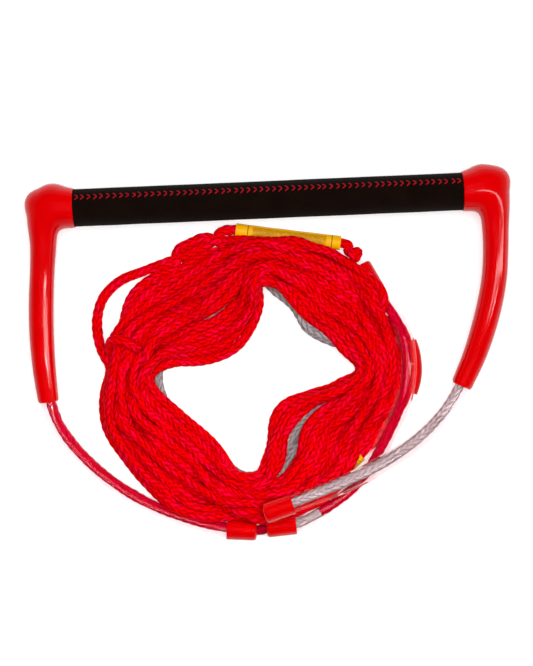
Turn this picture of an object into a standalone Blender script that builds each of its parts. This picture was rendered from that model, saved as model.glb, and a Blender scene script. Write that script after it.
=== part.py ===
"""Tow rope handle for water sports, lying flat with its rope coiled inside the bridle.

The bar runs along +X, +Y points away from the rope, and +Z is up from the surface it lies on.
Every route below is written from the middle of the bar's axis, and one empty carries the whole
object to its frame, whose origin is under the middle of the handle and its bridle.
"""

import math

import bmesh
import bpy
from mathutils import Vector

# Driving dimensions, in metres
GAP = 0.0003  # between pieces that touch
BAR_ORIGIN = (0.0014, 0.1245, 0.0157)  # the middle of the bar's axis in the object's frame
BAR_HALF = 0.1700
BAR_R = 0.0127
BAR_WALL = 0.0015
GRIP_HALF = 0.1570
FOAM_R = 0.0141
GRIP_R = 0.0149
SEAM_HALF = 0.1505
SEAM_WIDTH = 0.0048
SEAM_ANGLE = math.radians(28.3)  # from the top of the grip towards +Y

COLLAR_R = 0.0160
COLLAR_MOUTH = 0.1520  # from the middle of the bar
LIP_R = 0.01525
SOCKET_R = BAR_R + 0.00035
SOCKET_END = 0.1722
PLUG_INNER_END = 0.1520
PLUG_HOLE_R = 0.0057
PLUG_FLANGE = 0.0015
KNOT_R = 0.0090

ROPE_R = 0.0040
CHANNEL_R = 0.0047
HOSE_R = 0.0070
HOSE_WALL = 0.0013
HOSE_IN_ARM = 0.0280
CAP_R = 0.0080
CAP_LENGTH = 0.0240
CAP_END = 0.0025
CAP_BORE_R = HOSE_R + 0.00035
LABEL_R = 0.0054
LABEL_WALL = 0.0007
GUARD_R = 0.0072
GUARD_WALL = 0.0018

ROUND_SEGMENTS = 32
HOSE_STEP = 0.0125  # distance between the rings of a hose or rope
BEND_STEP = 0.0100
ARM_STEP = 0.0130
FLOOR = -BAR_ORIGIN[2]  # heights above the floor are written as FLOOR + height

# Routes of the moulded arms, from the knuckle down, with the arm's radius at each point
LEFT_ARM = [
    (-0.1790, 0.0030, FLOOR + 0.0157, 0.0124),
    (-0.1790, -0.0120, FLOOR + 0.0155, 0.0120),
    (-0.1792, -0.0280, FLOOR + 0.0148, 0.0106),
    (-0.1812, -0.0490, FLOOR + 0.0130, 0.0099),
    (-0.1832, -0.0730, FLOOR + 0.0114, 0.0100),
    (-0.1841, -0.0970, FLOOR + 0.0105, 0.0099),
    (-0.1837, -0.1190, FLOOR + 0.0100, 0.0095),
    (-0.1825, -0.1380, FLOOR + 0.0094, 0.0089),
    (-0.1810, -0.1535, FLOOR + 0.0088, 0.0083),
]
RIGHT_ARM = [
    (0.1785, 0.0055, FLOOR + 0.0157, 0.0126),
    (0.1787, -0.0120, FLOOR + 0.0155, 0.0122),
    (0.1788, -0.0280, FLOOR + 0.0148, 0.0108),
    (0.1785, -0.0470, FLOOR + 0.0132, 0.0102),
    (0.1768, -0.0680, FLOOR + 0.0118, 0.0102),
    (0.1725, -0.0890, FLOOR + 0.0108, 0.0102),
    (0.1662, -0.1100, FLOOR + 0.0103, 0.0100),
    (0.1582, -0.1310, FLOOR + 0.0098, 0.0094),
    (0.1468, -0.1545, FLOOR + 0.0090, 0.0085),
]
# The far-side swelling of each knuckle: centre and radius
LEFT_HUMP = (-0.1705, 0.0065, FLOOR + 0.0157, 0.0132)
RIGHT_HUMP = (0.1700, 0.0072, FLOOR + 0.0157, 0.0136)

ROPE_BEND_R = 0.0160  # where a bridle rope turns from the arm into the bar
ROPE_IN_KNUCKLE = 0.1830  # its distance from the middle of the bar, before it turns

# Bridle hoses, from the arm's mouth to their end caps
LEFT_HOSE = [
    (-0.1770, -0.1680, FLOOR + 0.0076),
    (-0.1672, -0.1850, FLOOR + 0.0073),
    (-0.1525, -0.2025, FLOOR + 0.0073),
    (-0.1350, -0.2185, FLOOR + 0.0073),
    (-0.1130, -0.2340, FLOOR + 0.0073),
    (-0.0890, -0.2460, FLOOR + 0.0073),
    (-0.0640, -0.2545, FLOOR + 0.0076),
]
RIGHT_HOSE = [
    (0.1370, -0.1700, FLOOR + 0.0100),
    (0.1230, -0.1850, FLOOR + 0.0140),
    (0.1070, -0.1975, FLOOR + 0.0200),
    (0.0880, -0.2080, FLOOR + 0.0255),
    (0.0660, -0.2190, FLOOR + 0.0290),
    (0.0420, -0.2285, FLOOR + 0.0305),
]
# The leader's hose, from the lower cap round the outside of the coil to the upper one
LEADER_HOSE = [
    (0.0300, -0.2502, FLOOR + 0.0073),
    (0.0450, -0.2418, FLOOR + 0.0073),
    (0.0590, -0.2315, FLOOR + 0.0073),
    (0.0700, -0.2190, FLOOR + 0.0086),
    (0.0768, -0.2080, FLOOR + 0.0114),
    (0.0825, -0.1975, FLOOR + 0.0136),
    (0.0885, -0.1865, FLOOR + 0.0155),
    (0.0955, -0.1730, FLOOR + 0.0190),
    (0.1005, -0.1590, FLOOR + 0.0218),
    (0.1032, -0.1450, FLOOR + 0.0225),
    (0.1042, -0.1300, FLOOR + 0.0225),
    (0.1030, -0.1150, FLOOR + 0.0215),
    (0.0985, -0.1000, FLOOR + 0.0155),
    (0.0910, -0.0880, FLOOR + 0.0100),
]
# Each tube end cap: its middle, and the way its closed end points, in degrees from +X
CAPS = {
    "bridle_cap_left": ((-0.0320, -0.2610, FLOOR + 0.0083), -5),
    "bridle_cap_right": ((-0.0023, -0.2425, FLOOR + 0.0325), 197),
    "leader_cap_lower": ((-0.0006, -0.2590, FLOOR + 0.0083), 184),
    "leader_cap_upper": ((0.0768, -0.0645, FLOOR + 0.0083), 118),
}
ROPE_PAST_CAP = 0.0055  # how far a bridle rope comes out of its leg's end cap
SPLICE_LENGTH = 0.0430  # the grey rope end inside the leader's lower end
LEADER_KNOT = (0.0672, -0.0458, FLOOR + 0.0090)
LEADER_KNOT_R = 0.0078

# Each label sleeve: its middle, its direction in degrees from +X and its length
LABELS = {
    "label_sleeve_upper": ((0.0148, -0.0292, FLOOR + 0.0058), -9.3, 0.0840),
    "label_sleeve_lower": ((0.0477, -0.2196, FLOOR + 0.0058), 40, 0.0450),
}
LABEL_ROPE_SPARE = (0.0055, 0.0030)  # rope past a label's low and high ends

FREE_LOOP = [
    (-0.0905, -0.0450, FLOOR + 0.0043),
    (-0.1060, -0.0510, FLOOR + 0.0043),
    (-0.1206, -0.0568, FLOOR + 0.0043),
    (-0.1346, -0.0712, FLOOR + 0.0043),
    (-0.1404, -0.0886, FLOOR + 0.0043),
    (-0.1396, -0.1062, FLOOR + 0.0043),
    (-0.1360, -0.1180, FLOOR + 0.0043),
]
LOOP_GUARD = [
    (0.1063, -0.1170, FLOOR + 0.0074),
    (0.1088, -0.1265, FLOOR + 0.0074),
    (0.1096, -0.1375, FLOOR + 0.0074),
    (0.1084, -0.1475, FLOOR + 0.0074),
    (0.1052, -0.1570, FLOOR + 0.0074),
]

# Outline of the coil: for each of 16 stations round it, the hole's edge, the outer edge and the height
COIL_STATIONS = [
    ((0.0670, -0.1370), (0.0960, -0.1385), 0.029),
    ((0.0400, -0.1500), (0.0870, -0.1640), 0.024),
    ((0.0040, -0.1640), (0.0670, -0.1900), 0.019),
    ((-0.0090, -0.1900), (0.0390, -0.2190), 0.020),
    ((-0.0220, -0.2170), (-0.0120, -0.2490), 0.023),
    ((-0.0430, -0.2060), (-0.0550, -0.2460), 0.023),
    ((-0.0580, -0.1780), (-0.1060, -0.2220), 0.019),
    ((-0.0780, -0.1600), (-0.1320, -0.1880), 0.024),
    ((-0.0940, -0.1380), (-0.1370, -0.1400), 0.029),
    ((-0.0860, -0.1270), (-0.1290, -0.1090), 0.025),
    ((-0.0450, -0.1240), (-0.1130, -0.0750), 0.019),
    ((-0.0140, -0.0950), (-0.0770, -0.0450), 0.022),
    ((-0.0090, -0.0640), (-0.0140, -0.0340), 0.029),
    ((0.0120, -0.0790), (0.0420, -0.0450), 0.025),
    ((0.0280, -0.1000), (0.0670, -0.0760), 0.019),
    ((0.0520, -0.1210), (0.0870, -0.1060), 0.024),
]
RINGS_A_STATION = 3
UNDER_COIL_HEIGHT = 0.0080  # the grey turns that lie on the floor under the red ones
UNDER_COIL_WIDTH = 0.0160
UNDER_COIL_OUT = 0.0040  # how far they show past the edge of the hole

RED = (0.80, 0.005, 0.008)
YELLOW = (0.95, 0.50, 0.010)
GREY = (0.42, 0.40, 0.42)


def new_collection(name):
    collection = bpy.data.collections.new(name)
    bpy.context.scene.collection.children.link(collection)
    return collection


def material(name, colour, roughness, metallic=0.0, alpha=1.0):
    made = bpy.data.materials.new(name)
    made.use_nodes = True
    shader = made.node_tree.nodes["Principled BSDF"]
    shader.inputs["Base Color"].default_value = (*colour, 1.0)
    shader.inputs["Roughness"].default_value = roughness
    shader.inputs["Metallic"].default_value = metallic
    shader.inputs["Alpha"].default_value = alpha
    return made


def add(name, data, slot):
    """A new sub-part, carried by the empty at the middle of the bar."""
    piece = bpy.data.objects.new(name, data)
    parts.objects.link(piece)
    piece.parent = middle
    if slot is not None:
        data.materials.append(materials[slot])
    return piece


def smooth_route(points, spacing):
    """Evenly spaced points on a Catmull-Rom curve through points; extra values are carried along."""
    ends = [2 * Vector(points[0]) - Vector(points[1])], [2 * Vector(points[-1]) - Vector(points[-2])]
    knots = ends[0] + [Vector(p) for p in points] + ends[1]
    fine = []
    for a, b, c, d in zip(knots, knots[1:], knots[2:], knots[3:]):
        for step in range(20):
            t = step / 20
            fine.append(
                0.5 * (2 * b + (c - a) * t + (2 * a - 5 * b + 4 * c - d) * t**2
                       + (3 * b - a - 3 * c + d) * t**3)
            )
    fine.append(knots[-2])
    lengths = [0.0]
    for a, b in zip(fine, fine[1:]):
        lengths.append(lengths[-1] + (b - a).length)
    count = max(2, round(lengths[-1] / spacing))
    route, at = [], 0
    for i in range(count + 1):
        wanted = lengths[-1] * i / count
        while at < len(fine) - 2 and lengths[at + 1] < wanted:
            at += 1
        share = (wanted - lengths[at]) / (lengths[at + 1] - lengths[at])
        route.append(fine[at].lerp(fine[at + 1], min(max(share, 0.0), 1.0)))
    return route


def curve_data(name, route, radius, resolution=2, caps=True, radii=None):
    data = bpy.data.curves.new(name, "CURVE")
    data.dimensions = "3D"
    data.bevel_depth = radius
    data.bevel_resolution = resolution
    data.use_fill_caps = caps
    spline = data.splines.new("POLY")
    spline.points.add(len(route) - 1)
    for i, (point, place) in enumerate(zip(spline.points, route)):
        point.co = (*place[:3], 1.0)
        point.radius = 1.0 if radii is None else radii[i] / radius
    return data


def mesh_from(piece, name):
    """The evaluated mesh of an object, closed, with the object itself removed."""
    graph = bpy.context.evaluated_depsgraph_get()
    mesh = bpy.data.meshes.new_from_object(piece.evaluated_get(graph))
    mesh.name = name
    bpy.data.objects.remove(piece)
    cleaned = bmesh.new()
    cleaned.from_mesh(mesh)
    bmesh.ops.remove_doubles(cleaned, verts=cleaned.verts, dist=1e-6)
    cleaned.to_mesh(mesh)
    cleaned.free()
    return mesh


def solid_tube(name, route, radius, resolution=2, radii=None):
    """The closed mesh of a round bar along a route."""
    loose = bpy.data.objects.new(name, curve_data(name, route, radius, resolution, True, radii))
    cutters.objects.link(loose)
    return mesh_from(loose, name)


def turned_mesh(name, profile, segments=ROUND_SEGMENTS):
    """A profile of (radius, height) points turned about Z, outer side first, from top to bottom."""
    mesh = bpy.data.meshes.new(name)
    open_at_axis = profile[0][0] == 0.0
    edges = [(i, i + 1) for i in range(len(profile) - 1)]
    if not open_at_axis:
        edges.append((len(profile) - 1, 0))
    mesh.from_pydata([(r, 0.0, z) for r, z in profile], edges, [])
    loose = bpy.data.objects.new(name, mesh)
    cutters.objects.link(loose)
    screw = loose.modifiers.new("turn", "SCREW")
    screw.steps = screw.render_steps = segments
    screw.use_merge_vertices = True
    screw.merge_threshold = 1e-5
    turned = mesh_from(loose, name)
    turned.set_sharp_from_angle(angle=math.radians(40))
    return turned


def cutter(name, mesh):
    piece = bpy.data.objects.new(name, mesh)
    cutters.objects.link(piece)
    piece.parent = middle
    piece.hide_render = True
    piece.display_type = "WIRE"
    return piece


def boolean(piece, other, operation):
    modifier = piece.modifiers.new(other.name, "BOOLEAN")
    modifier.operation = operation
    modifier.solver = "EXACT"
    modifier.object = other


def box_mesh(name, low, high):
    made = bmesh.new()
    bmesh.ops.create_cube(made, size=1.0)
    for vertex in made.verts:
        vertex.co = Vector([(a + b) / 2 + c * (b - a) for a, b, c in zip(low, high, vertex.co)])
    mesh = bpy.data.meshes.new(name)
    made.to_mesh(mesh)
    made.free()
    return mesh


def along_x(piece, x=0.0, facing=1):
    """Lays a turned piece, made about Z, along the bar; facing -1 turns its top towards -X."""
    piece.rotation_euler = (0.0, facing * math.pi / 2, 0.0)
    piece.location = (x, 0.0, 0.0)


def sleeve_profile(inner, outer, low, high):
    return [(outer, high), (outer, low), (inner, low), (inner, high)]


def bar():
    tube = add("bar_tube", turned_mesh(
        "bar_tube", sleeve_profile(BAR_R - BAR_WALL, BAR_R, -BAR_HALF, BAR_HALF)), "aluminium")
    foam = add("grip_foam", turned_mesh(
        "grip_foam", sleeve_profile(BAR_R + GAP, FOAM_R, -GRIP_HALF, GRIP_HALF)), "foam")
    wrap = add("grip_wrap", turned_mesh(
        "grip_wrap", sleeve_profile(FOAM_R + GAP, GRIP_R, -GRIP_HALF, GRIP_HALF)), "suede")
    for piece in (tube, foam, wrap):
        along_x(piece)


def seam():
    """The stitched seam: a thin curved strip that lies along the grip."""
    half_angle = SEAM_WIDTH / 2 / GRIP_R
    low, high = GRIP_R + GAP, GRIP_R + GAP + 0.0004
    made = bmesh.new()
    rings = []
    for x in (-SEAM_HALF, SEAM_HALF):
        ring = []
        for radius, order in ((low, (-1, 0, 1)), (high, (1, 0, -1))):
            for side in order:
                angle = SEAM_ANGLE + side * half_angle
                ring.append(made.verts.new((x, radius * math.sin(angle), radius * math.cos(angle))))
        rings.append(ring)
    for i in range(6):
        j = (i + 1) % 6
        made.faces.new((rings[0][i], rings[0][j], rings[1][j], rings[1][i]))
    made.faces.new(rings[0][::-1])
    made.faces.new(rings[1])
    bmesh.ops.recalc_face_normals(made, faces=made.faces)
    mesh = bpy.data.meshes.new("grip_seam")
    made.to_mesh(mesh)
    made.free()
    add("grip_seam", mesh, "thread")


def bar_plug(name, side):
    flange = BAR_HALF + GAP
    shank_r = BAR_R - BAR_WALL - GAP
    profile = [
        (BAR_R, flange + PLUG_FLANGE),
        (BAR_R, flange),
        (shank_r, flange),
        (shank_r, PLUG_INNER_END),
        (PLUG_HOLE_R, PLUG_INNER_END),
        (PLUG_HOLE_R, flange + PLUG_FLANGE),
    ]
    along_x(add(name, turned_mesh(name, profile, 24), "nylon"), 0.0, side)


def stop_knot(name, side):
    made = bmesh.new()
    bmesh.ops.create_uvsphere(made, u_segments=12, v_segments=7, radius=KNOT_R)
    mesh = bpy.data.meshes.new(name)
    made.to_mesh(mesh)
    made.free()
    knot = add(name, mesh, "red_rope" if side < 0 else "grey_rope")
    knot.location = (side * (PLUG_INNER_END - KNOT_R - GAP), 0.0, 0.0)
    knot.rotation_euler = (0.0, math.pi / 2, 0.0)


def rope_in_cap(arm, side):
    """The bridle rope's route from inside the bar, round its bend and down the arm."""
    start = [(side * PLUG_INNER_END, 0.0, 0.0), (side * 0.1595, 0.0, 0.0)]
    centre_x = ROPE_IN_KNUCKLE - ROPE_BEND_R
    for step in range(5):
        angle = math.radians(90 - 22.5 * step)
        reach = centre_x + ROPE_BEND_R * math.cos(angle)
        start.append((side * reach, ROPE_BEND_R * (math.sin(angle) - 1), -0.0002 * step))
    return start + [point[:3] for point in arm[3:]]


def end_cap(name, arm, hump, side, rope_route, hose_route):
    """A moulded cap: collar over the grip's end, swollen knuckle and long hollow arm."""
    top_r = arm[0][3]
    dome = [math.radians(angle) for angle in (75, 50, 25)]
    arm_route = [Vector((arm[0][0], arm[0][1] + top_r * math.sin(a), arm[0][2])) for a in dome]
    arm_radii = [top_r * math.cos(a) for a in dome]
    below = smooth_route(arm, ARM_STEP)
    arm_route += below
    arm_radii += [point[3] for point in below]
    body = add(name, solid_tube(name, arm_route, 0.01, 3, arm_radii), "red_vinyl")

    collar_end = SOCKET_END + 0.0040
    collar = cutter(f"{name}_collar", turned_mesh(f"{name}_collar", [
        (0.0, collar_end),
        (0.0100, collar_end),
        (0.0145, collar_end - 0.0040),
        (COLLAR_R, collar_end - 0.0090),
        (COLLAR_R, COLLAR_MOUTH),
        (0.0, COLLAR_MOUTH),
    ], 24))
    along_x(collar, 0.0, side)
    boolean(body, collar, "UNION")

    ball = bmesh.new()
    bmesh.ops.create_uvsphere(ball, u_segments=14, v_segments=9, radius=hump[3])
    mesh = bpy.data.meshes.new(f"{name}_hump")
    ball.to_mesh(mesh)
    ball.free()
    swelling = cutter(f"{name}_hump", mesh)
    swelling.location = hump[:3]
    boolean(body, swelling, "UNION")

    socket = cutter(f"{name}_socket", turned_mesh(f"{name}_socket", [
        (0.0, SOCKET_END),
        (SOCKET_R, SOCKET_END),
        (SOCKET_R, GRIP_HALF + GAP),
        (LIP_R, GRIP_HALF + GAP),
        (LIP_R, COLLAR_MOUTH - 0.0020),
        (0.0, COLLAR_MOUTH - 0.0020),
    ]))
    along_x(socket, 0.0, side)
    boolean(body, socket, "DIFFERENCE")

    channel = cutter(f"{name}_channel", solid_tube(f"{name}_channel", rope_route, CHANNEL_R, 3))
    boolean(body, channel, "DIFFERENCE")
    bore = cutter(f"{name}_bore", solid_tube(f"{name}_bore", hose_route, HOSE_R + 0.0005, 3))
    boolean(body, bore, "DIFFERENCE")

    floor = cutter(f"{name}_floor", box_mesh(
        f"{name}_floor", (side * 0.17 - 0.05, -0.2, FLOOR - 0.02), (side * 0.17 + 0.05, 0.05, FLOOR)))
    boolean(body, floor, "DIFFERENCE")


def cap_direction(degrees):
    return Vector((math.cos(math.radians(degrees)), math.sin(math.radians(degrees)), 0.0))


def cap_point(name, along):
    """A point on a tube end cap's axis, along metres from its middle towards its closed end."""
    centre, degrees = CAPS[name]
    return tuple(Vector(centre) + along * cap_direction(degrees))


def cap_axis(name, end):
    """Points that lead a route straight into a tube end cap, as far as end along its axis."""
    return [cap_point(name, along) for along in (-0.0150, -0.0050, end)]


def tube_cap(name):
    half = CAP_LENGTH / 2
    profile = [
        (ROPE_R + 0.0006, half),
        (CAP_R - 0.0030, half),
        (CAP_R - 0.0008, half - 0.0010),
        (CAP_R, half - 0.0032),
        (CAP_R, -half),
        (CAP_BORE_R, -half),
        (CAP_BORE_R, half - CAP_END),
        (ROPE_R + 0.0006, half - CAP_END),
    ]
    cap = add(name, turned_mesh(name, profile, 18), "red_vinyl")
    centre, degrees = CAPS[name]
    cap.location = centre
    cap.rotation_euler = (0.0, math.pi / 2, math.radians(degrees))


def hose(name, route):
    """A clear hose: an open tube surface with its wall's thickness inwards."""
    loose = bpy.data.objects.new(name, curve_data(name, route, HOSE_R, 3, False))
    cutters.objects.link(loose)
    piece = add(name, mesh_from(loose, name), "clear_hose")
    wall = piece.modifiers.new("wall", "SOLIDIFY")
    wall.thickness = HOSE_WALL
    wall.offset = -1.0


def rope(name, route, slot, radius=ROPE_R, resolution=2):
    add(name, curve_data(name, route, radius, resolution), slot)


def hose_between(arm, route, cap):
    """A bridle hose's smooth route, from inside the arm to the bottom of its end cap."""
    inside = CAP_LENGTH / 2 - CAP_END - GAP
    mouth, above = Vector(arm[-1][:3]), Vector(arm[-2][:3])
    start = mouth + (above - mouth).normalized() * HOSE_IN_ARM
    points = [tuple(start), tuple(mouth)] + route + cap_axis(cap, inside)
    return smooth_route(points, HOSE_STEP)


def bridle():
    """Both legs: caps, arms, hoses, ropes and the stop knots that hold them in the bar."""
    legs = (
        ("left", -1, LEFT_ARM, LEFT_HUMP, LEFT_HOSE, "red_rope"),
        ("right", 1, RIGHT_ARM, RIGHT_HUMP, RIGHT_HOSE, "grey_rope"),
    )
    for word, side, arm, hump, route, slot in legs:
        cap = f"bridle_cap_{word}"
        tube_route = hose_between(arm, route, cap)
        whole = smooth_route(
            rope_in_cap(arm, side) + route + cap_axis(cap, CAP_LENGTH / 2 + ROPE_PAST_CAP), BEND_STEP)
        in_cap = smooth_route(rope_in_cap(arm, side) + route[:1], BEND_STEP)
        lead_in = tube_route[0] + (tube_route[0] - tube_route[1]).normalized() * 0.0010
        end_cap(f"end_cap_{word}", arm, hump, side, in_cap, [lead_in] + tube_route[1:5])
        stop_knot(f"stop_knot_{word}", side)
        bar_plug(f"bar_plug_{word}", side)
        hose(f"bridle_hose_{word}", tube_route)
        rope(f"bridle_rope_{word}", whole, slot)
        tube_cap(cap)


def leader():
    """The short leader that joins the bridle to the main line, in its own hose."""
    lower, upper = "leader_cap_lower", "leader_cap_upper"
    inside = CAP_LENGTH / 2 - CAP_END - GAP
    points = cap_axis(lower, inside)[::-1] + LEADER_HOSE + cap_axis(upper, inside)
    route = smooth_route(points, HOSE_STEP)
    hose("leader_hose", route)
    split = round(SPLICE_LENGTH / HOSE_STEP)
    rope("leader_splice", route[: split + 1], "grey_rope")
    start = route[split] + (route[split + 1] - route[split]).normalized() * 0.0008
    end = Vector(cap_point(upper, CAP_LENGTH / 2 + GAP))
    rope("leader_rope", [start] + route[split + 1:] + [end], "red_rope")
    tube_cap(lower)
    tube_cap(upper)
    made = bmesh.new()
    bmesh.ops.create_uvsphere(made, u_segments=12, v_segments=7, radius=LEADER_KNOT_R)
    mesh = bpy.data.meshes.new("leader_knot")
    made.to_mesh(mesh)
    made.free()
    add("leader_knot", mesh, "red_rope").location = LEADER_KNOT


def label(name):
    """A printed sleeve on a straight stretch of the main line."""
    centre, degrees, length = LABELS[name]
    direction = cap_direction(degrees)
    sleeve = add(name, turned_mesh(
        name, sleeve_profile(LABEL_R - LABEL_WALL, LABEL_R, -length / 2, length / 2), 16), "label")
    sleeve.location = centre
    sleeve.rotation_euler = (0.0, math.pi / 2, math.radians(degrees))
    low, high = [length / 2 + spare for spare in LABEL_ROPE_SPARE]
    ends = [Vector(centre) - low * direction, Vector(centre) + high * direction]
    rope(f"{name}_rope", ends, "red_rope")


def station(share):
    """The coil's inner edge, outer edge and height at a share of the way round it."""
    count = len(COIL_STATIONS)
    place = share * count
    i = int(place) % count
    t = place - int(place)
    rows = [COIL_STATIONS[(i + k - 1) % count] for k in range(4)]
    a, b, c, d = [Vector((*row[0], *row[1])) for row in rows]
    edge = 0.5 * (2 * b + (c - a) * t + (2 * a - 5 * b + 4 * c - d) * t**2
                  + (3 * b - a - 3 * c + d) * t**3)
    height = rows[1][2] + (rows[2][2] - rows[1][2]) * t
    return Vector(edge[:2]), Vector(edge[2:]), height


def ring_mesh(name, section):
    """A closed ring; section gives (distance out from the hole's edge, height) points at a station."""
    made = bmesh.new()
    rings = []
    count = RINGS_A_STATION * len(COIL_STATIONS)
    for i in range(count):
        inner, outer, height = station(i / count)
        out = (outer - inner).normalized()
        rings.append([
            made.verts.new((*(inner + out * s), FLOOR + z))
            for s, z in section((outer - inner).length, height)
        ])
    for ring, following in zip(rings, rings[1:] + rings[:1]):
        for j in range(len(ring)):
            k = (j + 1) % len(ring)
            made.faces.new((ring[j], ring[k], following[k], following[j]))
    bmesh.ops.recalc_face_normals(made, faces=made.faces)
    mesh = bpy.data.meshes.new(name)
    made.to_mesh(mesh)
    made.free()
    return mesh


def red_section(width, height):
    step = UNDER_COIL_WIDTH - UNDER_COIL_OUT + 0.0005
    base = UNDER_COIL_HEIGHT + GAP
    return [
        (0.0, base),
        (0.0, 0.65 * height),
        (0.15 * width, 0.9 * height),
        (0.35 * width, height),
        (0.65 * width, height),
        (0.87 * width, 0.88 * height),
        (width, 0.5 * height),
        (width, 0.0020),
        (width - 0.0020, 0.0),
        (step, 0.0),
        (step, base),
    ]


def grey_section(width, height):
    low, high = -UNDER_COIL_OUT, UNDER_COIL_WIDTH - UNDER_COIL_OUT
    return [
        (low + 0.0020, 0.0),
        (low, UNDER_COIL_HEIGHT / 2),
        (low + 0.0020, UNDER_COIL_HEIGHT),
        (high, UNDER_COIL_HEIGHT),
        (high, 0.0),
    ]


def main_line():
    add("main_line_coil", ring_mesh("main_line_coil", red_section), "red_rope")
    add("handle_line_coil", ring_mesh("handle_line_coil", grey_section), "grey_rope")
    rope("free_loop", smooth_route(FREE_LOOP, 0.0120), "red_rope")
    for name in LABELS:
        label(name)


def boat_loop():
    """The boat-end loop's bend, in its smooth vinyl guard."""
    route = smooth_route(LOOP_GUARD, 0.0110)
    loose = bpy.data.objects.new("guard", curve_data("guard", route, GUARD_R, 3, False))
    cutters.objects.link(loose)
    guard = add("boat_loop_guard", mesh_from(loose, "boat_loop_guard"), "red_vinyl")
    wall = guard.modifiers.new("wall", "SOLIDIFY")
    wall.thickness = GUARD_WALL
    wall.offset = -1.0
    rope("boat_loop_rope", route, "red_rope")


for old in list(bpy.data.objects):
    bpy.data.objects.remove(old)
parts = new_collection("tow_rope_handle")
cutters = new_collection("cutters")
middle = bpy.data.objects.new("middle_of_bar", None)
parts.objects.link(middle)
middle.location = BAR_ORIGIN
materials = {
    "aluminium": material("aluminium", (0.78, 0.79, 0.80), 0.35, metallic=1.0),
    "foam": material("foam", (0.03, 0.03, 0.03), 0.9),
    "suede": material("suede", (0.016, 0.012, 0.010), 0.95),
    "thread": material("thread", (0.60, 0.01, 0.03), 0.7),
    "nylon": material("nylon", (0.75, 0.74, 0.70), 0.5),
    "red_vinyl": material("red_vinyl", (0.75, 0.0, 0.0), 0.15),
    "clear_hose": material("clear_hose", (0.95, 0.93, 0.93), 0.08, alpha=0.3),
    "red_rope": material("red_rope", RED, 0.55),
    "grey_rope": material("grey_rope", GREY, 0.6),
    "label": material("label", YELLOW, 0.35),
}
bar()
seam()
bridle()
leader()
main_line()
boat_loop()
bpy.context.view_layer.update()
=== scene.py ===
"""Looks of the tow rope handle: braided rope, clear hoses, dipped vinyl, a suede grip and studio light.

Routes are written from the middle of the bar's axis, with heights above the floor, as in the design.
"""

import math

import bmesh
import bpy
import numpy as np
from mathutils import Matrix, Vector


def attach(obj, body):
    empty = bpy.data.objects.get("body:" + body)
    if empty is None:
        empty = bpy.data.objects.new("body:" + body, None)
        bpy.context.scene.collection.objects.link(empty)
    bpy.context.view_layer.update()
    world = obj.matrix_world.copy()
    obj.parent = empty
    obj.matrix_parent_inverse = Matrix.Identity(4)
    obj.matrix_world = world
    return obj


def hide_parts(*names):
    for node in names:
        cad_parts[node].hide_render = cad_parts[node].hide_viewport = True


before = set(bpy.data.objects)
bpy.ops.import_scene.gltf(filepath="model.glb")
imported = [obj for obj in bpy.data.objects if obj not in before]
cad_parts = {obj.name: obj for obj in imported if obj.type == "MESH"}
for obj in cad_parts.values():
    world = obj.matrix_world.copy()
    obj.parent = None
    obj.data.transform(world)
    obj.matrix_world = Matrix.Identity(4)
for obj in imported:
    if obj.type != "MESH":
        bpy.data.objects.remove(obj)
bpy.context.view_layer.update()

# The middle of the bar's axis in the object's frame
BAR_X, BAR_Y, BAR_Z = 0.0014, 0.1245, 0.0157
ROOT, BAR_BODY, LABEL_BODY = "bridle_and_rope", "bar", "upper_label"

GRIP_HALF = 0.1570
GRIP_R = 0.0149
FOAM_R = 0.0141
SEAM_HALF = 0.1525
SEAM_ANGLE = math.radians(28.3)  # from the top of the grip towards +Y
STITCH_PITCH = 0.0050
COLLAR_R = 0.0160
COLLAR_MOUTH, COLLAR_END = 0.1520, 0.1760
LIP_R = 0.01525
SOCKET_R = 0.01305
SOCKET_END = 0.1722

ROPE_R = 0.0040
HOSE_R = 0.0070
HOSE_WALL = 0.0013
HOSE_IN_ARM = 0.0280
CAP_R = 0.0080
CAP_LENGTH = 0.0240
CAP_END = 0.0025
LABEL_R = 0.0054
LABEL_WALL = 0.0007
GUARD_R = 0.0072
GUARD_WALL = 0.0018
KNOT_ROPE_R = 0.0034  # the knot's rope, pulled thin
GAP = 0.0003  # between pieces that fit together
HOSE_STEP = 0.003  # between the points of a hose's middle line
CORD_STEP = 0.002  # and of a rope's

# Moulded arms: x, y, height and radius, from the knuckle down
LEFT_ARM = [
    (-0.1790, 0.0030, 0.0157, 0.0124), (-0.1790, -0.0120, 0.0155, 0.0120),
    (-0.1792, -0.0280, 0.0148, 0.0106), (-0.1812, -0.0490, 0.0130, 0.0099),
    (-0.1832, -0.0730, 0.0114, 0.0100), (-0.1841, -0.0970, 0.0105, 0.0099),
    (-0.1837, -0.1190, 0.0100, 0.0095), (-0.1825, -0.1380, 0.0094, 0.0089),
    (-0.1810, -0.1535, 0.0088, 0.0083),
]
RIGHT_ARM = [
    (0.1785, 0.0055, 0.0157, 0.0126), (0.1787, -0.0120, 0.0155, 0.0122),
    (0.1788, -0.0280, 0.0148, 0.0108), (0.1785, -0.0470, 0.0132, 0.0102),
    (0.1768, -0.0680, 0.0118, 0.0102), (0.1725, -0.0890, 0.0108, 0.0102),
    (0.1662, -0.1100, 0.0103, 0.0100), (0.1582, -0.1310, 0.0098, 0.0094),
    (0.1468, -0.1545, 0.0090, 0.0085),
]
# The swellings over each knuckle: the bar's stop knot and the arm's outer corner
LEFT_HUMPS = [(-0.1700, 0.0078, 0.0157, 0.0122), (-0.1805, 0.0040, 0.0157, 0.0112)]
RIGHT_HUMPS = [(0.1695, 0.0085, 0.0157, 0.0126), (0.1798, 0.0070, 0.0157, 0.0112)]

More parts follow.
